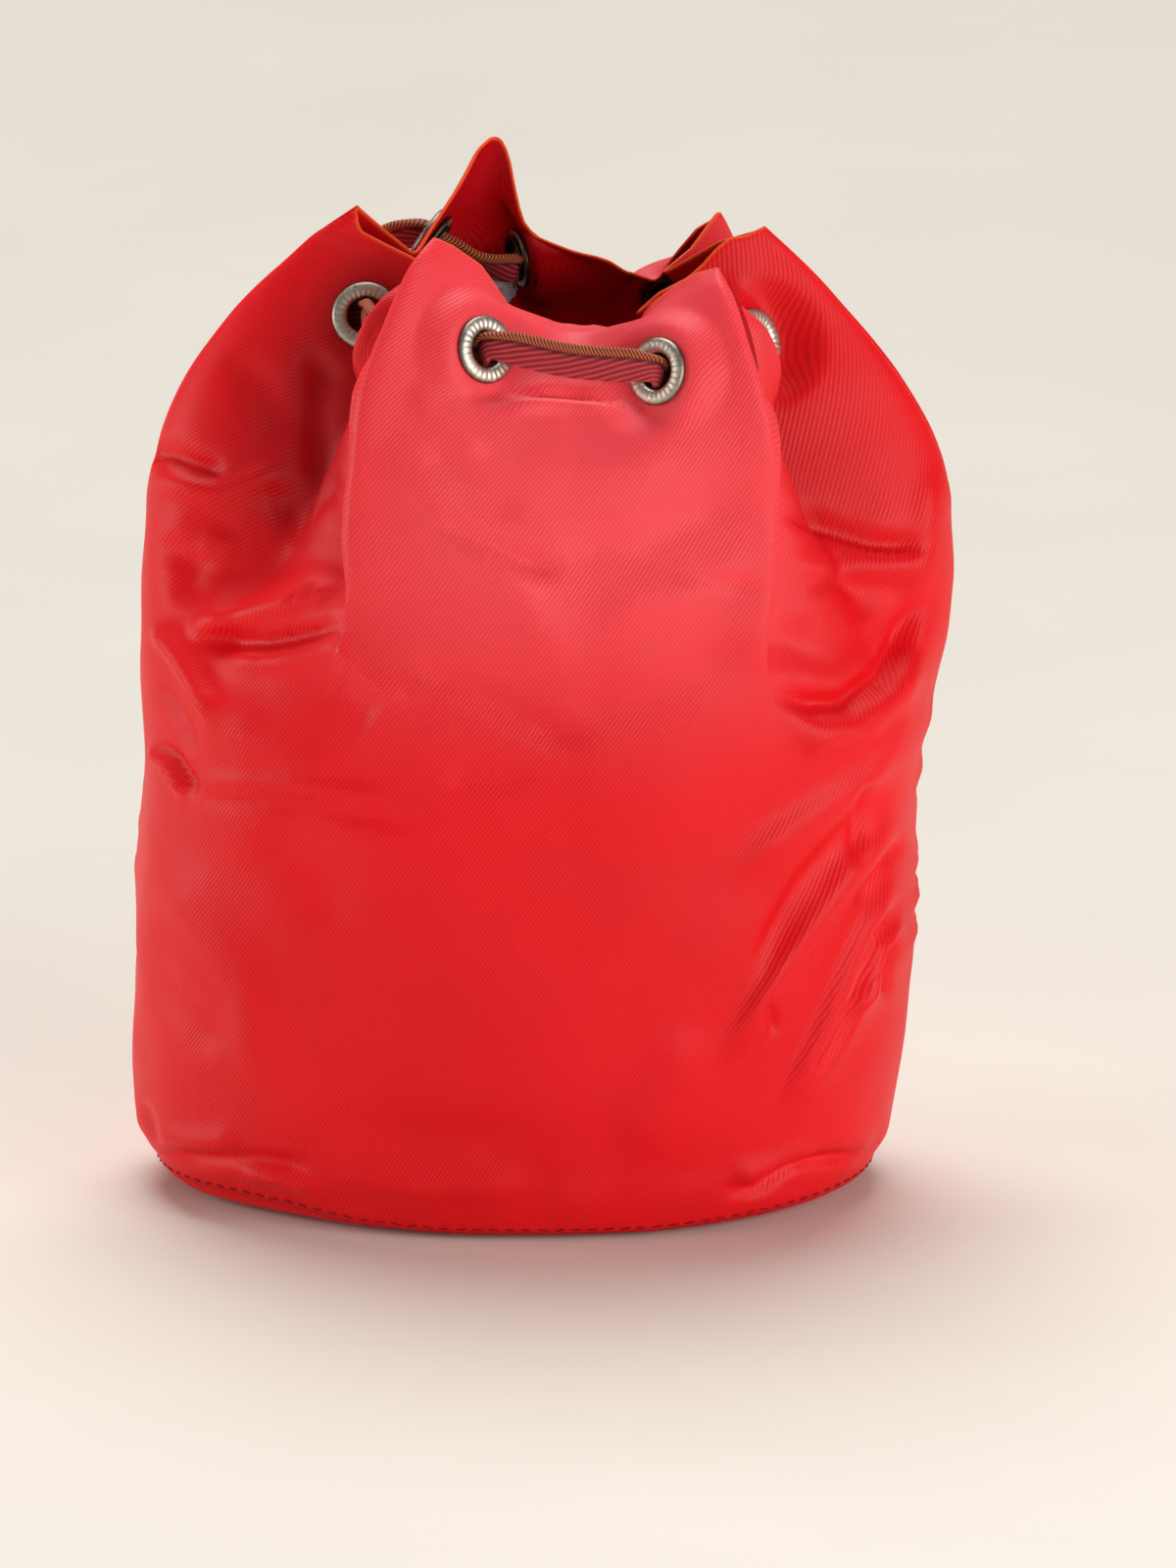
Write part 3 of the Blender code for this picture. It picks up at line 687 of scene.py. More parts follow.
footLift = (                 # angle, mm the base seam stands above its lowest row
    (-90.0, 2.6), (-62.0, 2.8), (-48.0, 3.0), (-36.0, 2.4), (-24.0, 0.4), (-8.0, -0.9), (20.0, -1.0),
    (42.0, 0.2), (66.0, 1.6), (90.0, 2.2), (130.0, 1.4), (180.0, 1.0), (230.0, 1.6),
)

seamPucker = {"groove": 1.1, "grooveWidth": 1.6, "puff": 1.2, "puffFrom": 3.5, "puffWidth": 5.0, "pitch": 10.0,
              "sides": ((90.0, 1.0), (270.0, 0.35))}    # angle of the seam, share of the puffs

drape = {
    "tuck": (104.0, 18.0),       # mm up the cloth where the sides start to tuck in, and over how many
    "untuck": (184.0, 22.0),     # and where most of that is let out again
    "untucked": 0.75,
    "hemDip": 11.0,              # mm below the hem that its dips reach
    "waves": ((1.3, 34.0, 3.1), (0.7, 14.0, 9.7)),    # height, length, seed
    "calm": 0.55,                # how much stiller the front lies
    "seamPuffs": ((42.0, 14.0), (96.0, 16.0)),        # mm up the cloth where they rise and fade
    "footRipple": (0.45, 7.0, 6.0),                   # height, middle and spread up the cloth
    "forward": (2.4, 6.0, 42.0),                      # mm the foot stands forward, its middle and spread round it
    "hemCalm": (200.0, 22.0, 0.7),
}


def footRaised(angle):
    foot = np.array(footLift)
    return np.interp(angle, foot[:, 0], foot[:, 1], period=360.0)


def footForward(angle):
    most, middle, spread = drape["forward"]
    return most * bell(angle, middle, spread, 4)


def clothSurface(angle, height):
    # outer face of the cloth with its folds, on a grid of angles and heights
    angle, height = np.broadcast_arrays(np.asarray(angle, float), np.asarray(height, float))
    above = height - seamHeight
    tucked = rise(height, *drape["tuck"]) * (1.0 - drape["untucked"] * rise(height, *drape["untuck"]))
    points, hold = clampRound(angle, clothPoint(angle, height))
    points = points + (clothPoint(angle, height, tucked) - clothPoint(angle, height)) * (1.0 - hold)[..., None]
    dips = np.array(hemDips)
    dip = np.interp(angle, dips[:, 0], dips[:, 1], period=360.0)
    dip = dip * rise(height, pouch["clothHeight"] - drape["hemDip"], drape["hemDip"])
    points = points + dip[..., None] * np.array([0.0, 0.0, 1.0])
    outward = gridNormals(points)
    shown = rise(outward @ cameraFrame()[2], -0.05, 0.35) * rise(-points[..., 1], -6.0, 12.0)
    free = 1.0 - hold
    lift = foldLift(seenFromCamera(points), frontFolds) * shown
    for wave, length, seed in drape["waves"]:
        lift = lift + wave * noiseField(points, 1 / length, seed) * (1.0 - drape["calm"] * shown)
    # side seams draw the cloth in, with small puffs between the stitches
    along = height / seamPucker["pitch"]
    puffed, faded = drape["seamPuffs"]
    for seam, amount in seamPucker["sides"]:
        away = np.abs(aroundCloth(angle) - aroundCloth(seam))
        puff = 0.5 + 0.5 * np.sin(2 * math.pi * along + 2.4 * np.sin(0.7 * along + seam))
        puff = amount * seamPucker["puff"] * puff * (0.6 + 0.4 * np.sin(1.98 * along + seam))
        puff = puff * rise(height, *puffed) * (1.0 - rise(height, *faded))
        lift = lift + puff * bell(away, seamPucker["puffFrom"], seamPucker["puffWidth"])
        lift = lift - seamPucker["groove"] * bell(away, 0.0, seamPucker["grooveWidth"])
    # the base seam puckers the lowest rows, and the foot swells forward
    ripple = np.sin(aroundCloth(angle) / 4.1 + 2.2 * np.sin(aroundCloth(angle) / 17.0))
    lift = lift + drape["footRipple"][0] * ripple * bell(height, *drape["footRipple"][1:])
    raised = footRaised(angle) * (1.0 - rise(above, 0.0, 16.0))
    forward = footForward(angle) * (1.0 - rise(above, 0.0, 13.0))
    points = points + np.stack([0.0 * raised, -forward, raised], axis=-1)
    hemFrom, hemOver, hemShare = drape["hemCalm"]
    lift = lift * (1.0 - hemShare * rise(height, hemFrom, hemOver)) * rise(height, 2.0, 9.0)
    return points + outward * ((lift + lapLift(angle, height, crests)) * free)[..., None]


crests = lapCrests()

# painted shade in the side pleats, rising from the first height to the second
paintedPleatShade = {"from": 128.0, "full": 172.0, "most": 0.9}
# painted highlight on the front and back faces between the ears, rising from the first height to the second
paintedHighlightPlaces = {"from": 92.0, "full": 152.0, "most": 0.75, "faces": (3.0, 178.0), "spread": 34.0}


def paintedShadeInPleats(angle, height):
    # how much painted shade lies in the pleats between two ears, 0 to 1, more where the cloth is folded in
    first, second, share = betweenFolds(angle)
    starts = np.array([1.0 if line[1] in pouch["ears"] else 0.0 for line in folds])
    inward = 1.0 - (starts[first] + (starts[second] - starts[first]) * share)
    sides = bell(turnFrom(angle, -55.0), 0.0, 30.0) + 0.7 * bell(turnFrom(angle, 61.0), 0.0, 18.0)
    climb = rise(height, paintedPleatShade["from"], paintedPleatShade["full"] - paintedPleatShade["from"])
    return paintedPleatShade["most"] * climb * np.clip(sides, 0.0, 1.0) * smoothStep(0.25 + 0.9 * inward)


def paintedHighlightAmount(angle, height):
    # painted highlight on the flat faces between the ears at the front and back, high up where they tilt towards the
    # light
    faces = sum(bell(turnFrom(angle, middle), 0.0, paintedHighlightPlaces["spread"], 4) for middle in paintedHighlightPlaces["faces"])
    return paintedHighlightPlaces["most"] * rise(height, paintedHighlightPlaces["from"], paintedHighlightPlaces["full"] - paintedHighlightPlaces["from"]) * faces


clothGrid = {"step": 1.1, "closeStep": 0.32, "laps": (-30.0, 34.0), "reach": 7.0, "rows": 172, "footRows": 26,
             "footTop": 30.0, "rim": 4, "margin": 4}


def clothAngles(firstAngle, lastAngle):
    # columns stand closer together where the front laps over the sides
    even = np.linspace(firstAngle, lastAngle, 2000)
    steps = np.full_like(even, clothGrid["step"])
    for lap in clothGrid["laps"]:
        near = rise(np.abs(even - lap), clothGrid["reach"], 4.0)
        steps = np.minimum(steps, clothGrid["closeStep"] + (clothGrid["step"] - clothGrid["closeStep"]) * near)
    gone = np.concatenate([[0.0], np.cumsum(np.diff(even) / steps[1:])])
    return np.interp(np.linspace(0.0, gone[-1], int(gone[-1]) + 1), gone, even)


def panelFaces(total, across, outerRows, kept):
    # both faces of the sheet, then the walls at the foot, the side edges and each hole
    faces = []

    def spot(row, column):
        return row * across + column

    def wall(start, end):
        behind = [spot(total - 1 - row, column) for row, column in (end, start)]
        faces.append((spot(*start), spot(*end), *behind))

    for row in range(total - 1):
        mirrored = row if row < outerRows - 1 else total - 2 - row
        for column in range(across - 1):
            if mirrored >= outerRows - 1 or kept[mirrored, column]:
                low, high = spot(row, column), spot(row + 1, column)
                faces.append((low, low + 1, high + 1, high))
    end = across - 1
    for column in range(end):
        wall((0, column + 1), (0, column))
    for row in range(outerRows - 1):
        wall((row, 0), (row + 1, 0))
        wall((row + 1, end), (row, end))
    rim = range(outerRows - 1, total - outerRows + 1)
    faces.append(tuple(spot(row, 0) for row in rim))
    faces.append(tuple(spot(row, end) for row in reversed(rim)))
    for row, column in np.argwhere(~kept).tolist():
        for down, right, start, finish in ((-1, 0, (0, 1), (0, 0)), (1, 0, (1, 0), (1, 1)),
                                           (0, -1, (0, 0), (1, 0)), (0, 1, (1, 1), (0, 1))):
            if kept[row + down, column + right]:
                wall((row + start[0], column + start[1]), (row + finish[0], column + finish[1]))
    return faces


def clothPanel(name, firstAngle, lastAngle):
    # one closed sheet: outer face up, round the folded hem, and down the inner face
    margin, thick = clothGrid["margin"], pouch["thickness"]
    angles = clothAngles(firstAngle, lastAngle)
    step = clothGrid["step"] * np.arange(1, margin + 1)
    wideAngles = np.concatenate([firstAngle - step[::-1], angles, lastAngle + step])
    heights = np.concatenate([
        np.linspace(seamHeight, clothGrid["footTop"], clothGrid["footRows"], endpoint=False),
        np.linspace(clothGrid["footTop"], pouch["clothHeight"], clothGrid["rows"] - clothGrid["footRows"])])
    wide = clothSurface(wideAngles[None, :], heights[:, None])
    outer, normal = wide[:, margin:-margin], gridNormals(wide)[:, margin:-margin]
    inner = outer - normal * thick
    middle, upward = (outer[-1] + inner[-1]) / 2, unit(outer[-1] - outer[-3])
    turns = [math.pi * index / clothGrid["rim"] for index in range(1, clothGrid["rim"])]
    rim = np.array([middle + (normal[-1] * math.cos(turn) + upward * math.sin(turn)) * thick / 2 for turn in turns])
    rows = np.concatenate([outer, rim, inner[::-1]])
    total, across = rows.shape[:2]
    # cells under an eyelet's flange are cut out
    cellMiddle = (outer[:-1, :-1] + outer[1:, 1:]) / 2
    kept = np.ones(cellMiddle.shape[:2], bool)
    for eyeletMiddle in eyeletMiddles:
        kept &= np.linalg.norm(cellMiddle - eyeletMiddle, axis=-1) > pouch["holeRadius"]
    piece = meshObject(name, rows.reshape(-1, 3), panelFaces(total, across, len(heights), kept), redTwill)
    piece.data.materials.append(plumLining)
    bandFoot = pouch["clothHeight"] - pouch["hemBand"]
    rimHeights = np.full(len(rim), pouch["clothHeight"] + 0.3)
    allHeights = np.concatenate([heights, rimHeights, heights[::-1]])
    for polygon in piece.data.polygons:
        row, column = divmod(min(polygon.vertices), across)
        slack = hemSlack["most"] * rise(abs(angles[column] - hemSlack["angle"]), hemSlack["reach"], 4.0)
        if row > len(heights) and allHeights[row] < bandFoot - slack:
            polygon.material_index = 1
    # the inner face gets no painted highlight, and gets painted shade near the hem
    shaded = np.concatenate([np.zeros(len(rim)), 0.95 * rise(heights[::-1], 176.0, 20.0)])
    for title, wear, inside in (("paintedShadeShare", paintedShadeInPleats, shaded), ("paintedHighlightShare", paintedHighlightAmount, shaded * 0.0)):
        values = np.concatenate([wear(angles[None, :], heights[:, None]).ravel(), np.repeat(inside, across)])
        layer = piece.data.attributes.new(title, "FLOAT", "POINT")
        layer.data.foreach_set("value", values.astype(np.float32))
    writeUv(piece, np.stack([np.tile(aroundCloth(angles), total), np.repeat(allHeights, across)], axis=-1))
    build = bmesh.new()
    build.from_mesh(piece.data)
    bmesh.ops.delete(build, geom=[vert for vert in build.verts if not vert.link_faces], context="VERTS")
    build.to_mesh(piece.data)
    build.free()
    return piece


frontCloth = clothPanel("frontCloth", -90.0, 90.0)
backCloth = clothPanel("backCloth", 90.0, 270.0)
for piece, node in ((frontCloth, "front_panel"), (backCloth, "back_panel")):
    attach(piece, "root")
    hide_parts(node)
print("cloth", len(frontCloth.data.polygons), len(backCloth.data.polygons))


# base, lining and tag
def ringSheet(name, rings, finish, across):
    # closed rings of points joined into one skin; the first and last ring are capped
    count, last = len(rings[0]), (len(rings) - 1) * len(rings[0])
    points = np.concatenate(rings + [rings[0].mean(axis=0)[None], rings[-1].mean(axis=0)[None]])
    faces = ringFaces(len(rings), count)
    for column in range(count):
        after = (column + 1) % count
        faces.append((after, column, last + count))
        faces.append((last + column, last + after, last + count + 1))
    piece = meshObject(name, points, faces, finish)
    skin = np.stack([np.tile(across, len(rings)), points[:-2, 2]], axis=-1)
    writeUv(piece, np.concatenate([skin, points[-2:, :2]]))
    return piece


base = {"thickness": 1.2, "columns": 220, "edge": 7.0, "foot": 11.0, "overlap": 0.95}


def makeBase():
    # the oval bottom: flat on the table, turning up under the panels' seam
    angles = np.linspace(-90.0, 270.0, base["columns"], endpoint=False)
    above = footRaised(angles) + 1.0
    ripple = 0.35 * np.sin(aroundCloth(angles) / 3.3 + 1.7 * np.sin(aroundCloth(angles) / 23.0))

    def ring(inset, height):
        points = bodyPoint(angles, np.full_like(angles, seamHeight), inset=inset)
        points[:, 1] -= footForward(angles)
        points[:, 2] = height
        return points

    edge, foot, top, thick = base["overlap"], base["foot"], base["edge"], base["thickness"]
    outer = [ring(foot + 26.0, 0.0), ring(foot + 3.0, 0.0), ring(foot, 0.0), ring(6.5, 0.25 + 0.10 * above),
             ring(3.4, 0.5 + 0.35 * above), ring(1.4, 0.8 + 0.7 * above), ring(edge + 0.1, 1.7 + above + ripple),
             ring(edge + 0.4, top)]
    inner = [ring(edge + 0.4 + thick * 0.5, top), ring(edge + thick, 3.0 + above), ring(4.2 + thick, 2.6),
             ring(foot + 3.0, thick + 0.1), ring(foot + 26.0, thick)]
    piece = ringSheet("baseCloth", outer + inner, redTwill, aroundCloth(angles))
    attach(piece, "root")
    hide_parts("base_panel")


stitch = {"pitch": 3.4, "length": 2.3, "width": 0.42, "height": 3.2, "proud": 0.12, "wander": 0.18, "seed": 7}


def seamThread():
    # spun polyester thread, dark red, sunk into the pucker it makes
    finish, tree, shader = newFinish("seamThread", {"Roughness": 0.7, "Specular IOR Level": 0.2})
    ply = (objectNoise(tree, 2600.0, 2.0), "Fac")
    paint(tree, shader, colourRamp(tree, ply, [(0.35, "#6A060C"), (0.65, "#A8101A")]))
    addBump(tree, shader, ply, 0.5, 0.0001)
    return finish


def stitchNodes(thread):
    # one stitch on each point of the seam, turned along it, a little uneven
    tree = bpy.data.node_groups.new("seamStitching", "GeometryNodeTree")
    tree.interface.new_socket("Geometry", in_out="INPUT", socket_type="NodeSocketGeometry")
    for title in ("Length", "Width", "Wander"):
        tree.interface.new_socket(title, in_out="INPUT", socket_type="NodeSocketFloat")
    tree.interface.new_socket("Seed", in_out="INPUT", socket_type="NodeSocketInt")
    tree.interface.new_socket("Geometry", in_out="OUTPUT", socket_type="NodeSocketGeometry")
    given = addNode(tree, "NodeGroupInput")
    rod = addNode(tree, "GeometryNodeMeshUVSphere", {"Segments": 8, "Rings": 7, "Radius": 0.5})
    size = addNode(tree, "ShaderNodeCombineXYZ", {},
                   {"X": (given, "Length"), "Y": (given, "Width"), "Z": (given, "Width")})
    shaped = addNode(tree, "GeometryNodeTransform", {}, {"Geometry": (rod, "Mesh"), "Scale": (size, "Vector")})
    along = addNode(tree, "GeometryNodeInputNamedAttribute", {"data_type": "FLOAT_VECTOR", "Name": "along"})
    aimed = addNode(tree, "FunctionNodeAlignRotationToVector", {"axis": "X"}, {"Vector": (along, "Attribute")})
    uneven = addNode(tree, "FunctionNodeRandomValue", {"data_type": "FLOAT", 2: -1.0, 3: 1.0},
                     {"Seed": (given, "Seed")})
    amount = addNode(tree, "ShaderNodeMath", {"operation": "MULTIPLY"}, {0: (uneven, 1), 1: (given, "Wander")})
    tilt = addNode(tree, "ShaderNodeCombineXYZ", {}, {"Y": (amount, "Value"), "Z": (amount, "Value")})
    turned = addNode(tree, "FunctionNodeRotateRotation", {"rotation_space": "LOCAL"},
                     {"Rotation": (aimed, "Rotation"), "Rotate By": (tilt, "Vector")})
    placed = addNode(tree, "GeometryNodeInstanceOnPoints", {}, {
        "Points": (given, "Geometry"), "Instance": (shaped, "Geometry"), "Rotation": (turned, "Rotation")})
    real = addNode(tree, "GeometryNodeRealizeInstances", {}, {"Geometry": (placed, "Instances")})
    finished = addNode(tree, "GeometryNodeSetMaterial", {"Material": thread}, {"Geometry": (real, "Geometry")})
    addNode(tree, "NodeGroupOutput", {}, {"Geometry": (finished, "Geometry")})
    return tree


def makeStitches():
    angles = np.arange(-90.0, 270.0, 0.25)
    surface = clothSurface(angles[None, :], stitch["height"] + np.array([[-0.4], [0.0], [0.4]]))
    line = surface[1] + gridNormals(surface)[1] * stitch["proud"]
    lengths = runLengths(line)
    wanted = np.arange(stitch["pitch"] / 2, lengths[-1], stitch["pitch"])
    spots, ahead = pointsAt(wanted, lengths, line), pointsAt(wanted + 0.6, lengths, line)
    thread = seamThread()
    holder = meshObject("seamSpots", spots, [], thread, smooth=False)
    along = holder.data.attributes.new("along", "FLOAT_VECTOR", "POINT")
    along.data.foreach_set("vector", unit(ahead - spots).astype(np.float32).ravel())
    modifier = holder.modifiers.new("stitching", "NODES")
    modifier.node_group = stitchNodes(thread)
    values = {"Length": stitch["length"] * mm, "Width": stitch["width"] * mm, "Wander": stitch["wander"],
              "Seed": stitch["seed"]}
    for socket in modifier.node_group.interface.items_tree:
        if socket.in_out == "INPUT" and socket.name in values:
            modifier[socket.identifier] = values[socket.name]
    bpy.context.view_layer.update()
    mesh = bpy.data.meshes.new_from_object(holder.evaluated_get(bpy.context.evaluated_depsgraph_get()))
    mesh.shade_smooth()
    piece = bpy.data.objects.new("baseStitches", mesh)
    bpy.context.collection.objects.link(piece)
    bpy.data.objects.remove(holder)
    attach(piece, "root")
    print("stitches", len(spots), len(mesh.polygons))


makeBase()
makeStitches()

lining = {"gap": 1.8, "loose": 0.5, "thickness": 0.5, "top": 156.0, "foot": 12.0, "columns": 240, "rows": 70,
          "clearOfBase": 0.45}


def makeLining():
    # plum bag that hangs inside the cloth and follows its folds, a little looser
    angles = np.linspace(-90.0, 270.0, lining["columns"] + 1)
    heights = np.linspace(lining["foot"], lining["top"], lining["rows"])
    step = angles[1] - angles[0]
    wide = np.concatenate([angles[:1] - step, angles, angles[-1:] + step])
    cloth = clothSurface(wide[None, :], heights[:, None])
    normal, cloth = gridNormals(cloth)[:, 1:-2], cloth[:, 1:-2]
    inset = pouch["thickness"] + lining["gap"] + lining["loose"] * noiseField(cloth, 1 / 11.0, 21.0)
    outer = cloth - normal * inset[..., None]
    inner = outer - normal * lining["thickness"]
    middle = outer[0].mean(axis=0)
    floor = base["thickness"] + lining["clearOfBase"]

    def bottom(ring, sizes):
        rings = []
        for share, height in sizes:
            points = middle + (ring - middle) * share
            points[:, 2] = floor + height
            rings.append(points)
        return rings

    rings = bottom(outer[0], ((0.20, 0.0), (0.80, 0.0), (0.87, 1.4), (0.93, 4.0))) + list(outer)
    rings += list(inner[::-1]) + bottom(inner[0], ((0.92, 4.4), (0.86, 1.9), (0.79, 0.5), (0.20, 0.5)))
    piece = ringSheet("liningBag", rings, plumLining, aroundCloth(angles[:-1]))
    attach(piece, "root")
    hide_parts("lining")


makeLining()


def clearFilm():
    # polyethylene film, clear; painted highlight white on the ridges of its crumple, and the lining's plum painted into
    # its hollows as if seen through
    finish, tree, shader = newFinish("crumpledFilm", {"Roughness": 0.22, "IOR": 1.5, "Transmission Weight": 0.10})
    crumple = (objectNoise(tree, 420.0, 5.0, 0.7), "Fac")
    paint(tree, shader, colourRamp(tree, crumple, [(0.35, "#C89AB0"), (0.52, "#EADCE4"), (0.66, "#FFFFFF")]))
    addBump(tree, shader, crumple, 0.9, 0.0012)
    return finish


tag = {"angle": 198.6, "drop": 24.5, "width": 5.4, "length": 24.0, "thickness": 0.35, "gap": 1.3,
       "columns": 14, "rows": 60, "crumple": 0.45, "bend": 27.0}


def makeTag():
    top = heightBelowHem(tag["angle"], tag["drop"])
    rows, columns = tag["rows"], tag["columns"]
    heights = np.linspace(top - tag["length"], top, rows)
    frayed = 0.10 * np.sin(heights * 1.7) + 0.07 * np.sin(heights * 3.9 + 1.0)
    turn = math.degrees(tag["width"] / tag["bend"]) * np.linspace(-0.5, 0.5, columns)
    angles = tag["angle"] + turn[None, :] * (1.0 + frayed[:, None])
    points = clothSurface(angles, np.broadcast_to(heights[:, None], angles.shape))
    normal = unit(gridNormals(points).mean(axis=1, keepdims=True))
    away = pouch["thickness"] + tag["gap"] + tag["crumple"] * (1.0 + noiseField(points, 1 / 2.6, 5.0))
    outer = points - normal * away[..., None]
    inner = outer - normal * tag["thickness"]
    shift = rows * columns
    faces = []
    for row in range(rows - 1):
        for spot in range(row * columns, (row + 1) * columns - 1):
            quad = (spot, spot + 1, spot + columns + 1, spot + columns)
            faces += [quad, tuple(value + shift for value in reversed(quad))]
    border = list(range(columns)) + [row * columns + columns - 1 for row in range(1, rows)]
    border += [shift - columns + column for column in range(columns - 2, -1, -1)]
    border += [row * columns for row in range(rows - 2, 0, -1)]
    faces += [(end, start, start + shift, end + shift) for start, end in zip(border, border[1:] + border[:1])]
    piece = meshObject("filmTag", np.concatenate([outer.reshape(-1, 3), inner.reshape(-1, 3)]), faces, clearFilm())
    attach(piece, "root")
    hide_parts("inner_tag")


makeTag()
print("base, lining and tag")


# eyelets
eyelet = {"diameter": 14.0, "hole": 7.4, "wall": 0.45, "dome": 1.15, "sides": 56, "seat": 0.15,
          "notches": 28, "notchDepth": 0.22, "notched": (3.6, 5.2, 6.7), "washer": 12.6}


def oldPewter():
    # zinc alloy plated and antiqued: dark in the hollows, rubbed bright on the crown
    finish, tree, shader = newFinish("antiquePewter", {"Metallic": 1.0, "Roughness": 0.36})
    uv = addNode(tree, "ShaderNodeUVMap", {"uv_map": "cloth"})
    apart = addNode(tree, "ShaderNodeSeparateXYZ", {}, {"Vector": (uv, "UV")})
    grime = (objectNoise(tree, 900.0, 4.0, 0.7), "Fac")
    crown = colourRamp(tree, (apart, "Y"), [(0.0, 0.0), (0.12, 0.3), (0.36, 1.0), (0.54, 0.5), (0.62, 0.0)])
    mixed = addNode(tree, "ShaderNodeMath", {"operation": "MULTIPLY_ADD", 1: 0.55}, {0: grime, 2: crown})
    paint(tree, shader, colourRamp(tree, (mixed, "Value"), [(0.30, "#4A4438"), (0.62, "#8C8474"), (1.0, "#C8C2B4")]))
    paint(tree, shader, (remap(tree, grime, (0.3, 0.7), (0.34, 0.56)), "Result"), "Roughness")
    addBump(tree, shader, grime, 0.4, 0.00012)
    return finish


pewter = oldPewter()


def turnedRings(name, profile, nodes, relief):
    # the same turned ring set at every eyelet, with small notches round its crown
    points, faces, uvs = [], [], []
    sides, steps = eyelet["sides"] * (2 if relief else 1), len(profile)
    notchFrom, notchMiddle, notchTo = eyelet["notched"]
    for middle, outward in eyelets:
        faces += ringFaces(sides, steps, closed=True, flip=True, first=len(points))
        side = unit(np.cross(outward, np.array([0.0, 0.0, 1.0])))
        up = np.cross(side, outward)
        for index in range(sides):
            turn = 2 * math.pi * index / sides
            for step, (radius, height) in enumerate(profile):
                if relief and notchFrom < radius < notchTo and height > 0.5:
                    notch = eyelet["notchDepth"] * max(0.0, math.sin(turn * eyelet["notches"]))
                    height -= notch * (1.0 - abs(radius - notchMiddle) / 1.6)
                points.append(middle + (side * math.cos(turn) + up * math.sin(turn)) * radius + outward * height)
                uvs.append((index / sides, step / (steps - 1)))
    piece = meshObject(name, points, faces, pewter)
    faceOutward(piece)
    writeUv(piece, uvs, 1.0)
    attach(piece, "root")
    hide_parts(*nodes)


def domeProfile():
    bore, rim, seat = eyelet["hole"] / 2, eyelet["diameter"] / 2, eyelet["seat"]
    turns = [math.pi * step / 12 for step in range(13)]
    crown = [((rim + bore) / 2 + (rim - bore) / 2 * math.cos(turn),
              seat + 0.25 + eyelet["dome"] * abs(math.sin(turn)) ** 0.8) for turn in turns]
    back = -(pouch["thickness"] + 1.3)
    barrel = bore + eyelet["wall"]
    return [(rim - 0.3, seat)] + crown + [
        (bore - 0.02, -0.3), (bore, back), (bore + 0.3, back - 0.45), (barrel + 0.5, back - 0.5),
        (barrel + 0.75, back - 0.2), (barrel + 0.4, back), (barrel, back + 0.1), (barrel, seat),
    ]


def washerProfile():
    bore, rim = eyelet["hole"] / 2 + eyelet["wall"] + 0.15, eyelet["washer"] / 2
    front, back = -(pouch["thickness"] + 0.25), -(pouch["thickness"] + 0.95)
    return [(bore, front), (bore, back + 0.1), (bore + 0.15, back), (rim - 0.3, back - 0.05),
            (rim, back + 0.2), (rim, front - 0.1), (rim - 0.15, front)]


numbers = ["%02d" % number for number in range(1, 13)]
turnedRings("eyeletRings", domeProfile(), ["eyelet_" + number for number in numbers], True)
turnedRings("eyeletWashers", washerProfile(), ["washer_" + number for number in numbers], False)
print("eyelets")


# strap
strap = {
    "width": 7.2,            # mm, the folded band with its rolled edge
    "spacing": 0.55,         # mm between rings of the mesh
    "pinch": 0.80,           # how much it narrows in an eyelet
    "exit": (15.3, 56.2, 98.0),
    "laidFlat": (-7.5, 23.0, 190.3),
    "loopTop": 135.0,        # mm above the table, where the hanging loop's bottom part begins
    "route": (
        (14.7, 56.2, 98.0), (3.0, 56.2, 103.0), (-0.5, 54.7, 126.0), (1.5, 51.1, 150.0),
        (3.8, 41.1, 174.5), (3.4, 35.0, 189.0), (2.4, 31.4, 190.6), (0.5, 25.9, 188.3),
        (-7.5, 23.0, 190.3), (-15.0, 22.7, 193.8), (-19.5, 23.7, 196.3), (-31.0, 20.0, 193.0),
        (-39.5, 9.5, 189.0), (-38.5, 5.0, 187.0), (-30.6, -3.5, 185.2), (-30.4, -8.6, 187.0),
        (-28.5, -20.5, 188.0), (-24.5, -23.0, 186.0), (-7.1, -31.1, 183.9), (-5.1, -35.1, 186.9),
        (12.0, -39.0, 184.6), (28.8, -37.9, 182.7), (30.3, -33.9, 179.7), (45.5, -25.0, 182.0),
        (48.5, -21.5, 183.5), (50.0, -9.6, 181.6), (49.5, -4.4, 179.9), (53.5, 4.5, 183.0),
        (55.0, 9.5, 185.0), (54.0, 16.5, 185.0), (50.0, 20.5, 182.5), (46.0, 23.5, 180.5),
        (33.0, 30.5, 180.0), (32.5, 34.5, 183.0), (32.0, 38.0, 183.0), (31.2, 42.5, 172.5),
        (30.3, 50.0, 150.0), (30.0, 53.5, 126.0), (26.5, 55.0, 103.0), (15.3, 56.2, 98.0),
    ),
    "outline": (             # across the width, and thickness, mm; the roll is on top
        (-3.55, 0.0), (-3.45, 0.34), (-3.1, 0.50), (-2.2, 0.58), (-1.0, 0.62), (0.2, 0.60), (1.1, 0.52),
        (1.55, 0.30), (1.8, 0.42), (2.05, 0.74), (2.5, 0.98), (2.95, 0.98), (3.35, 0.74), (3.6, 0.36), (3.65, 0.0),
    ),
}


def centripetal(before, start, end, after, share):
    # the curve between two points of the route, with the points beside them
    def knot(first, second):
        return max(np.linalg.norm(second - first) ** 0.5, 1e-4)

    def between(low, high, lowTime, highTime):
        return low * ((highTime - time) / (highTime - lowTime)) + high * ((time - lowTime) / (highTime - lowTime))

    one = knot(before, start)
    two = one + knot(start, end)
    three = two + knot(end, after)
    time = one + (two - one) * share
    early, main, late = between(before, start, 0.0, one), between(start, end, one, two), between(end, after, two, three)
    return between(between(early, main, 0.0, two), between(main, late, one, three), one, two)


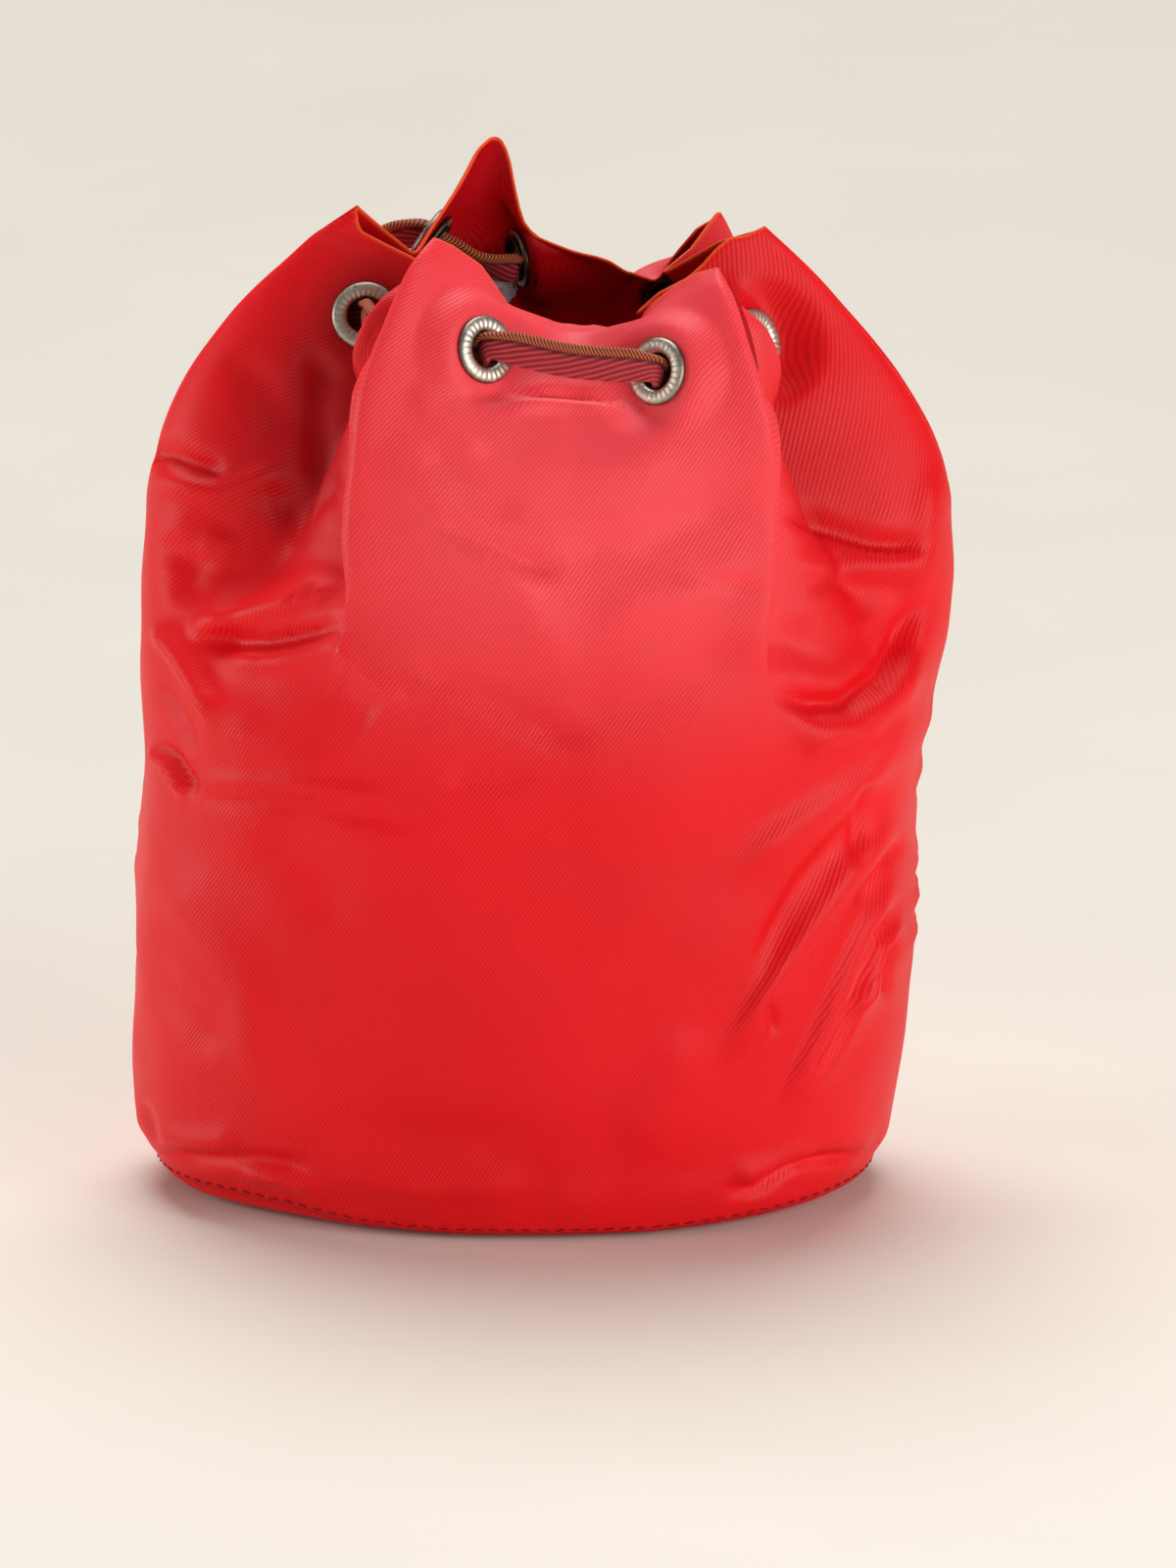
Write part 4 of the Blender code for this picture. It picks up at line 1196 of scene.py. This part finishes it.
def evenRoute(route, spacing):
    points = [np.array(point) for point in route]
    ends = [points[0] * 2 - points[1]] + points + [points[-1] * 2 - points[-2]]
    fine = [centripetal(*ends[index:index + 4], step / 20) for index in range(len(points) - 1) for step in range(20)]
    fine = np.array(fine + [points[-1]])
    lengths = runLengths(fine)
    return pointsAt(np.linspace(0.0, lengths[-1], int(lengths[-1] / spacing)), lengths, fine), lengths[-1]


def wovenStrap():
    # rayon and cotton webbing, ribbed on the slant, with a twisted gold and red thread along the roll
    finish, tree, shader = newFinish("wovenStrap", {
        "Roughness": 0.6, "IOR": 1.5, "Specular IOR Level": 0.35, "Sheen Weight": 0.3, "Sheen Tint": srgb("#FF9A8C"),
    })
    uv = addNode(tree, "ShaderNodeUVMap", {"uv_map": "cloth"})
    apart = addNode(tree, "ShaderNodeSeparateXYZ", {}, {"Vector": (uv, "UV")})
    ribs = threadBands(tree, uv, 1.15, {"Distortion": 0.9, "Detail": 1.0}, turn=70.0)
    twist = threadBands(tree, uv, 0.62, {"Distortion": 0.3}, turn=-32.0)
    # the band's colour follows its ribs: partly the weave's own stripe, partly painted highlight on the rib tops
    band = colourRamp(tree, (ribs, "Fac"), [(0.1, "#7E0E1A"), (0.5, "#A01826"), (0.92, "#BC3642")])
    cord = colourRamp(tree, (twist, "Fac"), [(0.15, "#5E140C"), (0.55, "#923018"), (0.9, "#C06A30")])
    onRoll = (remap(tree, (apart, "Y"), (0.0017, 0.0020)), "Result")
    # painted shade: the colour is darkened to 0.3 in the groove between the band and its roll
    groove = (remap(tree, (apart, "Y"), (0.0008, 0.0015), (1.0, 0.30)), "Result")
    paintedGrooveShade = addNode(tree, "ShaderNodeMath", {"operation": "MAXIMUM"}, {0: groove, 1: onRoll})
    colour = mixColour(tree, onRoll, band, cord)
    paint(tree, shader, mixColour(tree, 1.0, colour, (paintedGrooveShade, "Value"), "MULTIPLY"))
    height = addNode(tree, "ShaderNodeMix", {"data_type": "FLOAT"},
                     {"Factor": onRoll, 2: (ribs, "Fac"), 3: (twist, "Fac")})
    addBump(tree, shader, (height, 0), 0.8, 0.00022)
    return finish


def strapSides(line):
    # which way the strap's width lies at each point of its line, and which way it faces
    tangent = unit(np.gradient(line, axis=0))
    outward = unit((line - np.array([10.0, 0.0, 0.0])) * np.array([1.0, 1.0, 0.0]))
    upright = np.array([0.0, 0.0, 1.0]) - tangent * tangent[:, 2:3]
    # between the eyelets of the left back ear it lies on its side
    lying = bell(np.linalg.norm(line - np.array(strap["laidFlat"]), axis=1), 0.0, 5.5, 4)[:, None]
    upright = upright - np.array([0.0, 1.5, 0.0]) * lying
    flat = np.cross(tangent, outward)
    # the hanging loop keeps its roll on the outer side
    flat = np.where((flat[:, 0] * (line[:, 0] - strap["exit"][0]) < 0.0)[:, None], -flat, flat)
    upright = np.where((line[:, 2] < strap["loopTop"])[:, None], -upright, upright)
    mix = rise(np.abs(tangent[:, 2]), 0.45, 0.4)[:, None]
    width = unit(unit(upright) * (1.0 - mix) + unit(flat) * mix)
    for turn in range(60):                  # ease the twist along the strap
        width[1:-1] = (width[:-2] + width[1:-1] * 2.0 + width[2:]) / 4.0
        width = unit(width - tangent * np.sum(width * tangent, axis=1, keepdims=True))
    return width, np.cross(tangent, width)


def makeStrap():
    line, length = evenRoute(strap["route"], strap["spacing"])
    width, face = strapSides(line)
    away = np.min(np.linalg.norm(line[:, None, :] - eyeletMiddles[None, :, :], axis=2), axis=1)
    pinch = 1.0 - rise(away, 2.5, 5.0)
    narrow, thick = 1.0 - (1.0 - strap["pinch"]) * pinch, 1.0 + 0.5 * pinch
    side = list(strap["outline"])
    outline = np.array(side + [(across, -thickness) for across, thickness in side[-2:0:-1]])
    count, last = len(outline), (len(line) - 1) * len(outline)
    rings = line[:, None, :] + width[:, None, :] * (outline[None, :, 0:1] * narrow[:, None, None])
    rings = rings + face[:, None, :] * (outline[None, :, 1:2] * thick[:, None, None])
    faces = ringFaces(len(line), count, flip=True)
    faces += [tuple(range(count)), tuple(range(last + count - 1, last - 1, -1))]
    piece = meshObject("wovenDrawstring", rings.reshape(-1, 3), faces, wovenStrap())
    faceOutward(piece)
    gone = np.linspace(0.0, length, len(line))
    writeUv(piece, np.stack([np.repeat(gone, count), np.tile(outline[:, 0], len(line))], axis=-1))
    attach(piece, "root")
    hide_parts("drawstring")
    print("strap", round(length, 1), "mm")


makeStrap()


# stage
studio = {
    "table": ("#DED8CE", "#E1DBD1"), "tableSize": 9.0, "sky": "#F4F1EC", "skyStrength": 0.20,
    "sunPower": 2.7, "sunSoftness": 44.0, "sunFrom": (-0.05, 0.42, 1.0), "aim": (0.0, 0.0, 0.1),
    "lamps": {               # place, diameter, power
        "windowRight": ((1.20, -0.85, 0.52), 0.9, 10.0),
        "windowLeft": ((-1.30, -0.05, 0.26), 0.8, 8.5),
        "roomFront": ((0.8, -1.7, 0.36), 1.0, 10.5),
    },
}


def makeTable():
    finish, tree, shader = newFinish("paleTable", {"Roughness": 0.85, "Specular IOR Level": 0.2})
    mottle = (objectNoise(tree, 9.0, 5.0), "Fac")
    paint(tree, shader, colourRamp(tree, mottle, list(zip((0.35, 0.65), studio["table"]))))
    size = studio["tableSize"]
    mesh = bpy.data.meshes.new("table")
    mesh.from_pydata([(-size, -size, 0), (size, -size, 0), (size, size, 0), (-size, size, 0)], [], [(0, 1, 2, 3)])
    mesh.materials.append(finish)
    table = bpy.data.objects.new("table", mesh)
    bpy.context.collection.objects.link(table)


def makeLight():
    world = bpy.data.worlds.new("studio")
    world.use_nodes = True
    bpy.context.scene.world = world
    sky = world.node_tree.nodes["Background"]
    sky.inputs["Color"].default_value = srgb(studio["sky"])
    sky.inputs["Strength"].default_value = studio["skyStrength"]
    sun = bpy.data.lights.new("overhead", "SUN")
    sun.energy = studio["sunPower"]
    sun.angle = math.radians(studio["sunSoftness"])
    placed = [(sun, studio["sunFrom"])]
    for name, (spot, wide, power) in studio["lamps"].items():
        data = bpy.data.lights.new(name, "AREA")
        data.shape, data.size, data.energy = "DISK", wide, power
        placed.append((data, spot))
    for data, spot in placed:
        lamp = bpy.data.objects.new(data.name, data)
        bpy.context.collection.objects.link(lamp)
        lamp.location = spot
        lamp.rotation_euler = (Vector(studio["aim"]) - Vector(spot)).to_track_quat("-Z", "Y").to_euler()


makeTable()
makeLight()
bpy.context.scene.view_settings.view_transform = "Standard"
print("stage set")
